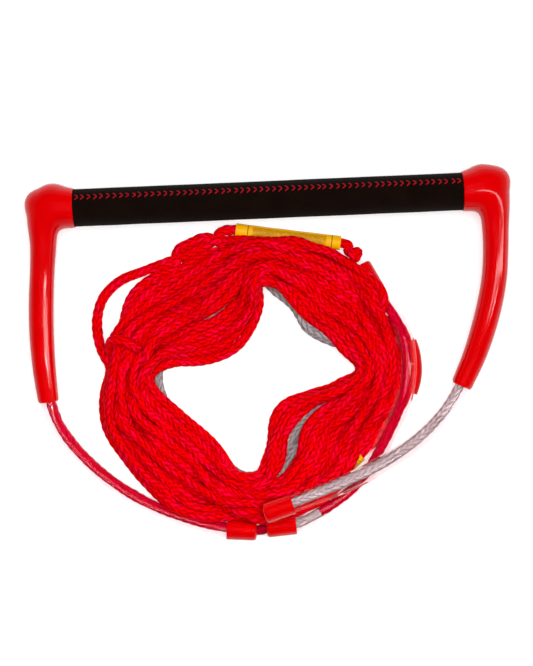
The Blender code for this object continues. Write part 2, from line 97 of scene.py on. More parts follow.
LEFT_HOSE = [
    (-0.1770, -0.1680, 0.0076), (-0.1672, -0.1850, 0.0073), (-0.1525, -0.2025, 0.0073),
    (-0.1350, -0.2185, 0.0073), (-0.1130, -0.2340, 0.0073), (-0.0890, -0.2460, 0.0073),
    (-0.0640, -0.2545, 0.0076),
]
RIGHT_HOSE = [
    (0.1370, -0.1700, 0.0100), (0.1230, -0.1850, 0.0140), (0.1070, -0.1975, 0.0200),
    (0.0880, -0.2080, 0.0255), (0.0660, -0.2190, 0.0290), (0.0420, -0.2285, 0.0305),
]
LEADER_HOSE = [
    (0.0300, -0.2502, 0.0073), (0.0450, -0.2418, 0.0073), (0.0590, -0.2315, 0.0073),
    (0.0700, -0.2190, 0.0086), (0.0768, -0.2080, 0.0114), (0.0825, -0.1975, 0.0136),
    (0.0885, -0.1865, 0.0155), (0.0955, -0.1730, 0.0190), (0.1005, -0.1590, 0.0218),
    (0.1032, -0.1450, 0.0225), (0.1042, -0.1300, 0.0225), (0.1030, -0.1150, 0.0215),
    (0.0985, -0.1000, 0.0155), (0.0910, -0.0880, 0.0100),
]
# Each tube end cap: its middle, and the way its closed end points, in degrees from +X
CAPS = {
    "bridle_cap_left": ((-0.0320, -0.2610, 0.0083), -5),
    "bridle_cap_right": ((-0.0023, -0.2425, 0.0325), 197),
    "leader_cap_lower": ((-0.0006, -0.2590, 0.0083), 184),
    "leader_cap_upper": ((0.0768, -0.0645, 0.0083), 118),
}
SPLICE_LENGTH = 0.0430
LEADER_KNOT = (0.0672, -0.0458, 0.0090)
# Each label sleeve: its middle, its direction in degrees from +X and its length
LABELS = {
    "label_sleeve_upper": ((0.0148, -0.0292, 0.0058), -9.3, 0.0840),
    "label_sleeve_lower": ((0.0477, -0.2196, 0.0058), 40, 0.0450),
}
FREE_LOOP = [
    (-0.0905, -0.0480, 0.0043), (-0.1060, -0.0532, 0.0043), (-0.1206, -0.0585, 0.0043),
    (-0.1346, -0.0712, 0.0043), (-0.1404, -0.0886, 0.0043), (-0.1396, -0.1062, 0.0043),
    (-0.1360, -0.1180, 0.0043),
]
LOOP_GUARD = [
    (0.1063, -0.1170, 0.0074), (0.1088, -0.1265, 0.0074), (0.1096, -0.1375, 0.0074),
    (0.1084, -0.1475, 0.0074), (0.1052, -0.1570, 0.0074),
]
LOOP_START = [(0.0930, -0.0960, 0.0060), (0.1010, -0.1050, 0.0072)]
LOOP_END = [(0.0990, -0.1680, 0.0066), (0.0900, -0.1800, 0.0052)]

# The coil at each station round it: the hole's edge, the outer edge, how many turns lie side by side
# in the separate bunch along the hole's edge, and the open gap beyond that bunch
COIL_STATIONS = [
    ((0.0670, -0.1370), (0.1010, -0.1380), 0, 0.0),
    ((0.0500, -0.1490), (0.0985, -0.1580), 2, 0.0),
    ((0.0320, -0.1535), (0.0915, -0.1770), 2, 0.0),
    ((0.0120, -0.1600), (0.0850, -0.1910), 2, 0.0060),
    ((-0.0010, -0.1690), (0.0720, -0.2065), 2, 0.0105),
    ((-0.0070, -0.1840), (0.0610, -0.2240), 2, 0.0105),
    ((-0.0100, -0.1990), (0.0430, -0.2390), 2, 0.0055),
    ((-0.0145, -0.2120), (0.0170, -0.2520), 2, 0.0),
    ((-0.0215, -0.2190), (-0.0140, -0.2530), 0, 0.0),
    ((-0.0340, -0.2135), (-0.0390, -0.2525), 0, 0.0),
    ((-0.0450, -0.1990), (-0.0650, -0.2520), 0, 0.0),
    ((-0.0570, -0.1830), (-0.0890, -0.2420), 0, 0.0),
    ((-0.0720, -0.1700), (-0.1085, -0.2245), 0, 0.0),
    ((-0.0850, -0.1570), (-0.1255, -0.2020), 0, 0.0),
    ((-0.0950, -0.1450), (-0.1395, -0.1780), 0, 0.0),
    ((-0.0965, -0.1360), (-0.1410, -0.1520), 0, 0.0),
    ((-0.0890, -0.1255), (-0.1350, -0.1290), 0, 0.0),
    ((-0.0720, -0.1230), (-0.1300, -0.0980), 3, 0.0),
    ((-0.0480, -0.1260), (-0.1145, -0.0682), 3, -0.0020),
    ((-0.0270, -0.1180), (-0.0868, -0.0460), 3, -0.0040),
    ((-0.0145, -0.1010), (-0.0600, -0.0308), 2, -0.0040),
    ((-0.0120, -0.0840), (-0.0350, -0.0255), 2, -0.0020),
    ((-0.0130, -0.0655), (-0.0090, -0.0280), 0, 0.0),
    ((0.0020, -0.0690), (0.0180, -0.0325), 0, 0.0),
    ((0.0135, -0.0810), (0.0475, -0.0385), 0, 0.0),
    ((0.0250, -0.0975), (0.0725, -0.0555), 0, 0.0),
    ((0.0400, -0.1075), (0.0895, -0.0750), 0, 0.0),
    ((0.0560, -0.1225), (0.0985, -0.1030), 0, 0.0),
]
BUNCH_STRANDS = 3
BUNCH_RUNS = ((1, 7), (17, 21))  # stations where the same turns stay in the separate bunch
# The dark gap inside the two outermost turns
OUTER_SLITS = {10: 0.0015, 11: 0.0035, 12: 0.0045, 13: 0.0030}
START_STATION = 16  # where the rope comes in from the free loop
TURNS = 15
SPACING = 0.0074  # between turns that press on each other, whose soft braid gives a little
LAYER = 0.0064
STEP = 0.0050  # between the points of a rope while it settles
SETTLE_ROUNDS = 260
SEARCH_EVERY = 8  # rounds between searches for strands and pieces that are near each other
NEAR_TURN, NEAR_PIECE = 0.0140, 0.0200  # how near those are
SINK = 0.00022  # how far the rope sinks in a round
HOLD = 0.060  # how strongly it is held to its place in the plan, as a share of the way back
STIFFNESS = 0.05
GIVE = 0.0002  # how far it may press into the floor and other pieces
LOW_PIECE = 0.0125  # turns climb over a piece whose middle is lower than this
HITCH = [
    (-0.1180, -0.1300, 0.0050), (-0.1268, -0.1220, 0.0055), (-0.1310, -0.1130, 0.0100),
    (-0.1288, -0.1060, 0.0175), (-0.1215, -0.1055, 0.0230), (-0.1135, -0.1095, 0.0215),
    (-0.1075, -0.1135, 0.0150),
]  # the end of the coil's last turn, wrapped over the outer turns
# The grey line's way under the coil, on the floor
GREY_ROUTE = [
    (-0.0140, -0.2360), (-0.0030, -0.2220), (0.0060, -0.2080), (0.0140, -0.1985), (0.0225, -0.1895),
    (0.0315, -0.1800), (0.0420, -0.1700), (0.0550, -0.1600), (0.0700, -0.1490), (0.0760, -0.1360),
    (0.0690, -0.1240), (0.0600, -0.1190), (0.0500, -0.1155), (0.0410, -0.1115), (0.0330, -0.1070),
    (0.0265, -0.1015), (0.0220, -0.0930), (0.0175, -0.0850), (0.0105, -0.0780), (0.0030, -0.0720),
    (-0.0030, -0.0655), (-0.0110, -0.0580), (-0.0200, -0.0620), (-0.0330, -0.0740), (-0.0480, -0.0880),
    (-0.0640, -0.1040), (-0.0790, -0.1180), (-0.0900, -0.1240), (-0.0930, -0.1305), (-0.0938, -0.1390),
    (-0.0920, -0.1490), (-0.0870, -0.1610), (-0.0740, -0.1750), (-0.0600, -0.1880), (-0.0490, -0.1990),
    (-0.0410, -0.2095), (-0.0330, -0.2165), (-0.0235, -0.2192), (-0.0110, -0.2155), (-0.0010, -0.2050),
    (0.0085, -0.1937), (0.0182, -0.1808), (0.0300, -0.1705), (0.0430, -0.1610), (0.0560, -0.1530),
]

# The main line is shown as equal lengths, end to end, each with the nodes that it stands for
MAIN_SECTIONS = {
    "main_line_1": ("free_loop", "label_sleeve_upper_rope"),
    "main_line_2": ("main_line_coil",),
    "main_line_3": ("label_sleeve_lower_rope",),
}
MAIN_LINE_R = ROPE_R + 0.0002  # to the tops of its plaits, which stand a little proud
BRAID_PITCH = 0.0066
BRAID_COLUMNS = 6
BRAID_DEPTH = 0.20  # of the rope's radius
BRAID_LEAN = 0.42  # of a plait's length, from its column's middle to its edge

ARM_EDGE, COLLAR_EDGE = 0.0012, 0.0022  # the roundness of the arm's mouth and the collar's rim
HUMP_BLEND, COLLAR_BLEND = 0.0045, 0.0070  # the fillets between a moulded end's parts
VOXEL = 0.0011  # the first rough skin of a moulded end
SKIN_DEPTH = 0.0006  # points nearer the surface than this are skin, and the rest are in a bore
EVEN_ROUNDS = 100  # how often the skin's normals are averaged
THREAD_R = 0.00058
CHEVRON_HALF, CHEVRON_TALL = 0.0013, 0.0022  # half the length of a stitch's thread, and its height
CAMERA_FROM_BAR = (-0.0057, -0.1052, 1.170)
CAMERA_ROLL = -2.45  # degrees


# Geometry helpers

def at(x, y, height):
    """A point written from the middle of the bar, in the object's frame."""
    return (x + BAR_X, y + BAR_Y, height)


def placed(points):
    return np.array([at(*p[:3]) for p in points], float)


def spline(a, b, c, d, t):
    """A Catmull-Rom curve's value at t between b and c."""
    return 0.5 * (2 * b + (c - a) * t + (2 * a - 5 * b + 4 * c - d) * t**2
                  + (3 * b - a - 3 * c + d) * t**3)


def spline_at(values, place):
    """A smooth curve through values, read at fractional places among them."""
    i = place.astype(int)
    last = np.minimum(i + 2, len(values) - 1)
    return spline(values[i - 1], values[i], values[i + 1], values[last], place - i)


def angles_round(sides):
    return np.linspace(0, 2 * math.pi, sides, endpoint=False)


def curve_through(points, step):
    """Evenly spaced points on a smooth curve through points, which may carry extra values."""
    knots = np.asarray(points, float)
    knots = np.vstack([2 * knots[0] - knots[1], knots, 2 * knots[-1] - knots[-2]])
    a, b, c, d = knots[:-3, None], knots[1:-2, None], knots[2:-1, None], knots[3:, None]
    t = np.linspace(0, 1, 16, endpoint=False)[None, :, None]
    fine = spline(a, b, c, d, t).reshape(-1, knots.shape[1])
    return resampled(np.vstack([fine, knots[-2]]), step)


def resampled(line, step):
    """A line's points again, evenly spaced."""
    lengths = np.linalg.norm(np.diff(line[:, :3], axis=0), axis=1)
    along = np.concatenate([[0.0], np.cumsum(lengths)])
    wanted = np.linspace(0, along[-1], max(2, round(along[-1] / step) + 1))
    return np.stack([np.interp(wanted, along, line[:, k]) for k in range(line.shape[1])], axis=1)


def length_of(line):
    return float(np.linalg.norm(np.diff(line[:, :3], axis=0), axis=1).sum())


def smoothed(line, rounds):
    """The line with its kinks taken out and its ends kept."""
    line = line.copy()
    for _ in range(rounds):
        line[1:-1] += 0.5 * ((line[:-2] + line[2:]) / 2 - line[1:-1])
    return line


def unit(v):
    return v / np.maximum(np.linalg.norm(v, axis=-1, keepdims=True), 1e-12)


def directions(line):
    """The tangent, and two steady sideways directions, at each point of a line."""
    tangent = unit(np.gradient(line, axis=0))
    side = np.zeros_like(line)
    start = np.array([0.0, 0.0, 1.0])
    if abs(tangent[0] @ start) > 0.9:
        start = np.array([1.0, 0.0, 0.0])
    current = np.cross(tangent[0], start)
    for i, t in enumerate(tangent):
        current = current - (current @ t) * t
        current /= np.linalg.norm(current)
        side[i] = current
    return tangent, side, np.cross(tangent, side)


def new_object(name, mesh, material):
    piece = bpy.data.objects.new(name, mesh)
    bpy.context.scene.collection.objects.link(piece)
    if material is not None:
        mesh.materials.append(material)
    return piece


def mesh_of(name, points, faces):
    mesh = bpy.data.meshes.new(name)
    mesh.from_pydata([tuple(p) for p in points], [], [tuple(f) for f in faces])
    mesh.shade_smooth()
    return mesh


def add_values(mesh, name, values):
    """A number at each of a mesh's points, for its material to read."""
    mesh.attributes.new(name, "FLOAT", "POINT").data.foreach_set("value", values.astype(np.float32))


def values_of(items, field, width, kind=float):
    """A row of values for each of a mesh's points, edges or corners."""
    values = np.zeros(len(items) * width, kind)
    items.foreach_get(field, values)
    return values.reshape(-1, width)


def face_outwards(mesh, merge=0.0):
    """Merges a mesh's points that are nearer than merge, and turns its faces outwards."""
    made = bmesh.new()
    made.from_mesh(mesh)
    if merge:
        bmesh.ops.remove_doubles(made, verts=made.verts, dist=merge)
    bmesh.ops.recalc_face_normals(made, faces=made.faces)
    made.to_mesh(mesh)
    made.free()


def tube_faces(rings, sides):
    """Quads between rings of points, whose first and last rings stay open."""
    i = np.arange(rings - 1)[:, None] * sides
    j = np.arange(sides)[None, :]
    k = (j + 1) % sides
    return np.stack([i + j, i + k, i + sides + k, i + sides + j], axis=-1).reshape(-1, 4)


def closed_tube_faces(rings, sides):
    """The faces of a tube that a fan of triangles closes at each end, to one more point there."""
    faces = tube_faces(rings, sides).tolist()
    first, last, base = rings * sides, rings * sides + 1, (rings - 1) * sides
    for j in range(sides):
        k = (j + 1) % sides
        faces += [(first, k, j), (last, base + j, base + k)]
    return faces


def two_skin_faces(rings, sides):
    """The faces of an outer tube, the inner one that comes after it, and the rims between them."""
    outer = tube_faces(rings, sides)
    skin = rings * sides
    rims = []
    for base, flip in ((0, False), (skin - sides, True)):
        for j in range(sides):
            k = (j + 1) % sides
            quad = (base + j, skin + base + j, skin + base + k, base + k)
            rims.append(quad[::-1] if flip else quad)
    return outer.tolist() + (outer[:, ::-1] + skin).tolist() + rims


def tube_points(line, radius, sides):
    """Rings of points round a line. The radius is one number, or one for each ring or for each point."""
    _, side, up = directions(line)
    angle = angles_round(sides)
    around = side[:, None] * np.cos(angle)[None, :, None] + up[:, None] * np.sin(angle)[None, :, None]
    radius = np.asarray(radius, float)
    if radius.ndim == 1:
        radius = radius[:, None]
    return line[:, None] + around * np.broadcast_to(radius, (len(line), sides))[..., None]


def plait_height(angle, along, shift):
    """How high the braid stands, from 0 in its grooves to 1 on its plaits, and each plait's number."""
    column_width = 2 * math.pi / BRAID_COLUMNS
    column = np.floor((angle + shift) / column_width)
    across = 2 * ((angle + shift) / column_width - column) - 1
    odd = np.mod(column, 2)
    lean = np.where(odd > 0.5, BRAID_LEAN, -BRAID_LEAN)
    phase = along / BRAID_PITCH + 0.5 * odd + lean * across
    plait = np.floor(phase)
    within = phase - plait
    crown = np.sqrt(np.maximum(1 - np.abs(across) ** 2.4, 0.0))
    ends = np.clip(np.sin(math.pi * within), 0, 1) ** 0.8
    number = plait * BRAID_COLUMNS + np.mod(column, BRAID_COLUMNS)
    return crown * ends, number


def noise_along(seed, count, knots):
    """A smooth random number for each of count places, with about knots free values."""
    values = np.random.default_rng(seed).normal(size=max(4, knots) + 3)
    return spline_at(values, np.linspace(1, len(values) - 2.001, count))


def braided_rope(name, line, material, radius=ROPE_R, seed=1, start_at=0.0, sides=24, ring_step=0.00115):
    """A braided rope along a line, as a closed mesh whose plaits are real relief."""
    path = resampled(line, ring_step)
    count = len(path)
    along = start_at + np.linspace(0, length_of(path), count)
    wander = 0.9 * noise_along(seed, count, count // 60)  # how the plaits turn round the rope, in radians
    angle = angles_round(sides)
    height, number = plait_height(angle[None, :] + 0 * along[:, None],
                                  along[:, None] * (1 + 0 * angle[None, :]), wander[:, None])
    loose = 1 + 0.020 * noise_along(seed + 1, count, count // 12)  # thicker and thinner stretches
    squash = 1 + 0.05 * np.cos(2 * (angle[None, :] + noise_along(seed + 2, count, count // 80)[:, None]))
    lift = 0.5 + 0.5 * np.sin(number * 12.9898 + seed)
    relief = 1 - BRAID_DEPTH * (1 - height) + 0.025 * lift * height  # some plaits stand proud
    points = tube_points(path, radius * loose[:, None] * squash * relief, sides)
    points[:, :, 2] = np.maximum(points[:, :, 2], 0.0)  # flattened where it lies on the floor
    bulge = directions(path)[0] * radius * 0.35  # each cut end is a low cone
    ends = np.stack([path[0] - bulge[0], path[-1] + bulge[-1]])
    mesh = mesh_of(name, np.vstack([points.reshape(-1, 3), ends]), closed_tube_faces(count, sides))
    strand = np.mod(np.abs(np.sin(number * 78.233 + 4.1)) * 43.7, 1)  # a steady random share for each plait
    for label, values in (("plait", height), ("strand", strand)):
        add_values(mesh, label, np.append(values.ravel(), [0.0, 0.0]))
    fibre = mesh.attributes.new("fibre", "FLOAT_VECTOR", "POINT")
    lean = np.where(np.mod(number, 2) > 0.5, 1.0, -1.0)
    spot = np.stack([angle[None, :] * radius * 1000 + lean * along[:, None] * 240,
                     along[:, None] * 1000 + 0 * lean, number], axis=-1).reshape(-1, 3)
    spot = np.vstack([spot, np.zeros((2, 3))])
    fibre.data.foreach_set("vector", spot.astype(np.float32).ravel())
    piece = new_object(name, mesh, material)
    return piece, path


def walled_tube(name, line, radius, wall, material, sides=64):
    """A hose with real wall thickness, open at both ends."""
    skins = [tube_points(line, r, sides).reshape(-1, 3) for r in (radius, radius - wall)]
    mesh = mesh_of(name, np.vstack(skins), two_skin_faces(len(line), sides))
    mesh.set_sharp_from_angle(angle=math.radians(50))
    return new_object(name, mesh, material)


def turned(name, profile, centre, direction, material, sides=48, relief=None):
    """A closed profile of (radius, along) points turned about an axis through centre."""
    profile = np.array(profile, float)
    axis = unit(np.array(direction, float))
    other = unit(np.cross([0.0, 0.0, 1.0], axis))
    up = np.cross(axis, other)
    angle = angles_round(sides)
    radius = np.repeat(profile[:, :1], sides, axis=1)
    along = np.repeat(profile[:, 1:], sides, axis=1)
    if relief is not None:
        radius = radius + relief(angle[None, :], along)
    around = np.cos(angle)[None, :, None] * other + np.sin(angle)[None, :, None] * up
    points = np.array(centre) + along[..., None] * axis + radius[..., None] * around
    rings = len(profile)
    faces = []
    for i in range(rings):
        n = (i + 1) % rings
        for j in range(sides):
            k = (j + 1) % sides
            faces.append((i * sides + j, n * sides + j, n * sides + k, i * sides + k))
    mesh = mesh_of(name, points.reshape(-1, 3), faces)
    face_outwards(mesh, 1e-6)
    mesh.shade_smooth()
    mesh.set_sharp_from_angle(angle=math.radians(45))
    return new_object(name, mesh, material)


def rounded(corners, radius, steps=6):
    """A closed profile with its corners rounded."""
    corners = np.array(corners, float)
    made = []
    for before, corner, after in zip(np.roll(corners, 1, 0), corners, np.roll(corners, -1, 0)):
        a, b = before - corner, after - corner
        size = min(radius, 0.45 * np.linalg.norm(a), 0.45 * np.linalg.norm(b))
        start, end = corner + unit(a) * size, corner + unit(b) * size
        for t in np.linspace(0, 1, steps):
            made.append((1 - t) ** 2 * start + 2 * t * (1 - t) * corner + t**2 * end)
    return made


# Materials

def base_material(name, colour, roughness, **sockets):
    made = bpy.data.materials.new(name)
    made.use_nodes = True
    shader = made.node_tree.nodes["Principled BSDF"]
    shader.inputs["Base Color"].default_value = (*colour, 1.0)
    shader.inputs["Roughness"].default_value = roughness
    for socket, value in sockets.items():
        shader.inputs[socket.replace("_", " ")].default_value = value
    return made, made.node_tree, shader


def node(tree, kind, **values):
    made = tree.nodes.new(kind)
    for key, value in values.items():
        if hasattr(made, key):
            setattr(made, key, value)
        else:
            made.inputs[key.replace("_", " ")].default_value = value
    return made


def link(tree, a, b):
    tree.links.new(a, b)


def object_place(tree):
    return node(tree, "ShaderNodeTexCoord").outputs["Object"]


def noise(tree, place, scale, detail=2.0, roughness=0.5):
    made = node(tree, "ShaderNodeTexNoise", Scale=scale, Detail=detail, Roughness=roughness)
    link(tree, place, made.inputs["Vector"])
    return made.outputs["Fac"]


def ramp(tree, value, stops):
    made = node(tree, "ShaderNodeValToRGB")
    link(tree, value, made.inputs["Fac"])
    elements = made.color_ramp.elements
    while len(elements) < len(stops):
        elements.new(0.5)
    for element, (place, colour) in zip(elements, stops):
        element.position = place
        element.color = (*colour, 1.0) if len(colour) == 3 else colour
    return made.outputs["Color"]


def grey(value):
    return (value, value, value)


def mixed(tree, share, a, b, blend="MIX"):
    made = node(tree, "ShaderNodeMix", data_type="RGBA", blend_type=blend)
    sockets = [s for s in made.inputs if s.enabled]
    for socket, value in zip(sockets, (share, a, b)):
        if isinstance(value, bpy.types.NodeSocket):
            link(tree, value, socket)
        elif isinstance(value, (int, float)):
            socket.default_value = value
        else:
            socket.default_value = (*value, 1.0)
    return next(s for s in made.outputs if s.enabled)


def maths(tree, operation, a, b=0.0):
    made = node(tree, "ShaderNodeMath", operation=operation)
    for socket, value in zip(made.inputs, (a, b)):
        if isinstance(value, bpy.types.NodeSocket):
            link(tree, value, socket)
        else:
            socket.default_value = value
    return made.outputs["Value"]


def paint(tree, shader, colour):
    link(tree, colour, shader.inputs["Base Color"])


def bump(tree, shader, height, strength, distance):
    made = node(tree, "ShaderNodeBump", Strength=strength, Distance=distance)
    link(tree, height, made.inputs["Height"])
    link(tree, made.outputs["Normal"], shader.inputs["Normal"])


def attribute(tree, name, output="Fac"):
    return node(tree, "ShaderNodeAttribute", attribute_name=name).outputs[output]


def rope_material(name, groove, plain, painted_highlight, roughness):
    """Braided plastic yarn: painted shade in its grooves, a painted highlight on its plaits' crowns, plaits
    of slightly different shades and fine filaments.
    """
    made, tree, shader = base_material(name, plain, roughness, Specular_IOR_Level=0.01)
    strand = maths(tree, "MULTIPLY", attribute(tree, "strand"), 0.28)
    fibre = node(tree, "ShaderNodeMapping")
    fibre.inputs["Scale"].default_value = (2.6, 0.22, 1.0)
    link(tree, attribute(tree, "fibre", "Vector"), fibre.inputs["Vector"])
    filaments = noise(tree, fibre.outputs["Vector"], 1.0, 2.0, 0.6)
    height = attribute(tree, "plait")
    shade = maths(tree, "ADD", strand, maths(tree, "MULTIPLY", filaments, 0.55))
    shade = maths(tree, "ADD", shade, maths(tree, "MULTIPLY", height, 0.30))
    # Painted highlight: plaits that stand high turn to the highlight colour, mixed with each plait's own
    # random shade and its filaments.
    top = ramp(tree, shade, [(0.40, plain), (0.64, plain), (0.84, painted_highlight)])
    # Painted shade: the colour darkens to the groove colour where the braid sinks between its plaits, with
    # the filaments' noise breaking its edge.
    groove_shade_mask = maths(tree, "ADD", height, maths(tree, "MULTIPLY", maths(tree, "ADD", filaments, -0.5), 0.6))
    groove_shade_share = ramp(tree, groove_shade_mask, [(0.04, grey(0.0)), (0.50, grey(1.0))])
    paint(tree, shader, mixed(tree, groove_shade_share, groove, top))
    bump(tree, shader, filaments, 0.35, 0.0003)
    return made


def vinyl_material(name, colour, deep, roughness, shine=0.28):
    """Dipped soft vinyl: smooth and glossy, with slightly deeper and duller patches."""
    made, tree, shader = base_material(name, colour, roughness, Specular_IOR_Level=shine)
    place = object_place(tree)
    paint(tree, shader, ramp(tree, noise(tree, place, 28.0), [(0.35, deep), (0.65, colour)]))
    duller = [(0.3, grey(roughness * 0.8)), (0.7, grey(roughness * 1.3))]
    link(tree, ramp(tree, noise(tree, place, 60.0), duller), shader.inputs["Roughness"])
    return made


def hose_material():
    """Clear hose, faintly pink, that lets the lamps' light through to the rope inside it."""
    made, tree, shader = base_material("clear_hose_look", (0.970, 0.880, 0.890), 0.03, IOR=1.02,
                                       Transmission_Weight=1.0, Coat_Weight=0.45, Coat_Roughness=0.06,
                                       Coat_IOR=1.38)
    clear = node(tree, "ShaderNodeBsdfTransparent")
    clear.inputs["Color"].default_value = (0.96, 0.92, 0.92, 1.0)
    either = node(tree, "ShaderNodeMixShader")
    link(tree, node(tree, "ShaderNodeLightPath").outputs["Is Shadow Ray"], either.inputs["Fac"])
    link(tree, shader.outputs["BSDF"], either.inputs[1])
    link(tree, clear.outputs["BSDF"], either.inputs[2])
    link(tree, either.outputs["Shader"], tree.nodes["Material Output"].inputs["Surface"])
    return made


def suede_material():
    """Near-black brown suede with a short brushed nap."""
    made, tree, shader = base_material("suede_look", (0.004, 0.002, 0.0012), 0.95, Sheen_Weight=0.02,
                                       Sheen_Roughness=0.6, Specular_IOR_Level=0.04)
    place = object_place(tree)
    nap = noise(tree, place, 2600.0, 3.0, 0.7)
    brushed = noise(tree, place, 60.0, 3.0, 0.6)
    tone = ramp(tree, brushed, [(0.3, (0.0028, 0.0011, 0.0006)), (0.7, (0.0056, 0.0024, 0.0013))])
    paint(tree, shader, mixed(tree, maths(tree, "MULTIPLY", nap, 0.5), tone, (0.0085, 0.0040, 0.0024)))
    bump(tree, shader, maths(tree, "ADD", nap, maths(tree, "MULTIPLY", brushed, 0.4)), 0.5, 0.0003)
    return made


def grained_material(name, colour, darker, roughness, scale):
    """A plain surface with fine grain, for foam, thread and nylon."""
    made, tree, shader = base_material(name, colour, roughness)
    grain = noise(tree, object_place(tree), scale, 3.0, 0.6)
    paint(tree, shader, ramp(tree, grain, [(0.3, darker), (0.7, colour)]))
    bump(tree, shader, grain, 0.3, 0.0004)
    return made


def brushed_metal():
    """Aluminium with fine drawn lines along the tube."""
    made, tree, shader = base_material("drawn_aluminium", (0.78, 0.79, 0.80), 0.32, Metallic=1.0)
    stretched = node(tree, "ShaderNodeMapping")
    stretched.inputs["Scale"].default_value = (8.0, 900.0, 900.0)
    link(tree, object_place(tree), stretched.inputs["Vector"])
    lines = noise(tree, stretched.outputs["Vector"], 1.0, 3.0)
    paint(tree, shader, ramp(tree, lines, [(0.3, (0.66, 0.67, 0.68)), (0.7, (0.82, 0.83, 0.84))]))
    bump(tree, shader, lines, 0.15, 0.0002)
    return made


def label_material():
    """Yellow sleeve with two thin cross-lines and a darker ochre band between them, and no lettering."""
    made, tree, shader = base_material("label_look", (1.0, 0.50, 0.0), 0.35, Coat_Weight=0.3,
                                       Coat_Roughness=0.15)
    along, around = attribute(tree, "label_along"), attribute(tree, "label_around")
    place = object_place(tree)
    yellow = ramp(tree, noise(tree, place, 90.0), [(0.3, (0.78, 0.36, 0.0)), (0.7, (0.86, 0.43, 0.0))])
    line = maths(tree, "ADD", maths(tree, "COMPARE", along, 0.115), maths(tree, "COMPARE", along, 0.915))
    for compare in [n for n in tree.nodes if n.type == "MATH" and n.operation == "COMPARE"]:
        compare.inputs[2].default_value = 0.004  # half of a line's width, as a share of the sleeve
    after, before = maths(tree, "GREATER_THAN", along, 0.16), maths(tree, "LESS_THAN", along, 0.86)
    band = maths(tree, "MULTIPLY", maths(tree, "MULTIPLY", after, before),
                 maths(tree, "LESS_THAN", maths(tree, "ABSOLUTE", around), 0.80))
    blotches = ramp(tree, noise(tree, place, 700.0), [(0.3, grey(0.35)), (0.6, grey(0.80))])
    banded = mixed(tree, maths(tree, "MULTIPLY", band, blotches), yellow, (0.34, 0.14, 0.004))
    paint(tree, shader, mixed(tree, line, banded, (0.12, 0.05, 0.02)))
    bump(tree, shader, noise(tree, place, 220.0), 0.2, 0.0004)
    return made


# Each braid's colours: the painted shade in its grooves, its own colour, and the painted highlight on its
# plaits' crowns.
RED_ROPE = rope_material("red_braid", (0.14, 0.0, 0.001), (0.70, 0.0, 0.001), (0.90, 0.0, 0.045), 0.42)
# A darker, bluer copy of the red braid for the rope seen inside the clear hoses: painted shade for how dim
# it looks there.
HOSE_SHADED_RED_ROPE = rope_material(
    "red_braid_hose_shade", (0.14, 0.0, 0.004), (0.32, 0.0, 0.010), (0.42, 0.0, 0.028), 0.42)
GREY_ROPE = rope_material(
    "grey_braid", (0.06, 0.045, 0.045), (0.27, 0.235, 0.24), (0.41, 0.385, 0.39), 0.45)
RED_VINYL = vinyl_material("red_vinyl_look", (0.63, 0.0, 0.001), (0.59, 0.0, 0.001), 0.09)
DULL_VINYL = vinyl_material("dull_vinyl_look", (0.56, 0.0, 0.001), (0.52, 0.0, 0.001), 0.30, 0.06)
CLEAR_HOSE = hose_material()
SUEDE = suede_material()
THREAD = grained_material("thread_look", (0.38, 0.0, 0.010), (0.24, 0.0, 0.006), 0.85, 3000.0)
FOAM = grained_material("foam_look", (0.03, 0.03, 0.03), (0.015, 0.015, 0.015), 0.9, 1500.0)
NYLON = grained_material("nylon_look", (0.75, 0.74, 0.70), (0.66, 0.65, 0.61), 0.5, 900.0)
ALUMINIUM = brushed_metal()
LABEL = label_material()


# Camera, light and floor

def camera():
    """Straight down, rolled a little, with the bar near the top of the picture."""
    data = bpy.data.cameras.new("camera")
    data.lens = 80.0
    data.sensor_width = 36.0
    seen = bpy.data.objects.new("camera", data)
    bpy.context.scene.collection.objects.link(seen)
    seen.location = [a + b for a, b in zip((BAR_X, BAR_Y, BAR_Z), CAMERA_FROM_BAR)]
    seen.rotation_euler = (0.0, 0.0, math.radians(CAMERA_ROLL))
    bpy.context.scene.camera = seen


def area_light(name, place, size, energy, target=(0.0, 0.0, 0.0), seen=True, spread=180.0):
    data = bpy.data.lights.new(name, "AREA")
    data.shape = "RECTANGLE"
    data.size, data.size_y = size
    data.energy = energy
    data.spread = math.radians(spread)
    lamp = bpy.data.objects.new(name, data)
    bpy.context.scene.collection.objects.link(lamp)
    lamp.visible_glossy = seen  # an unseen lamp lights the piece without showing in its shine
    lamp.location = place
    lamp.rotation_euler = (Vector(target) - Vector(place)).to_track_quat("-Z", "Y").to_euler()


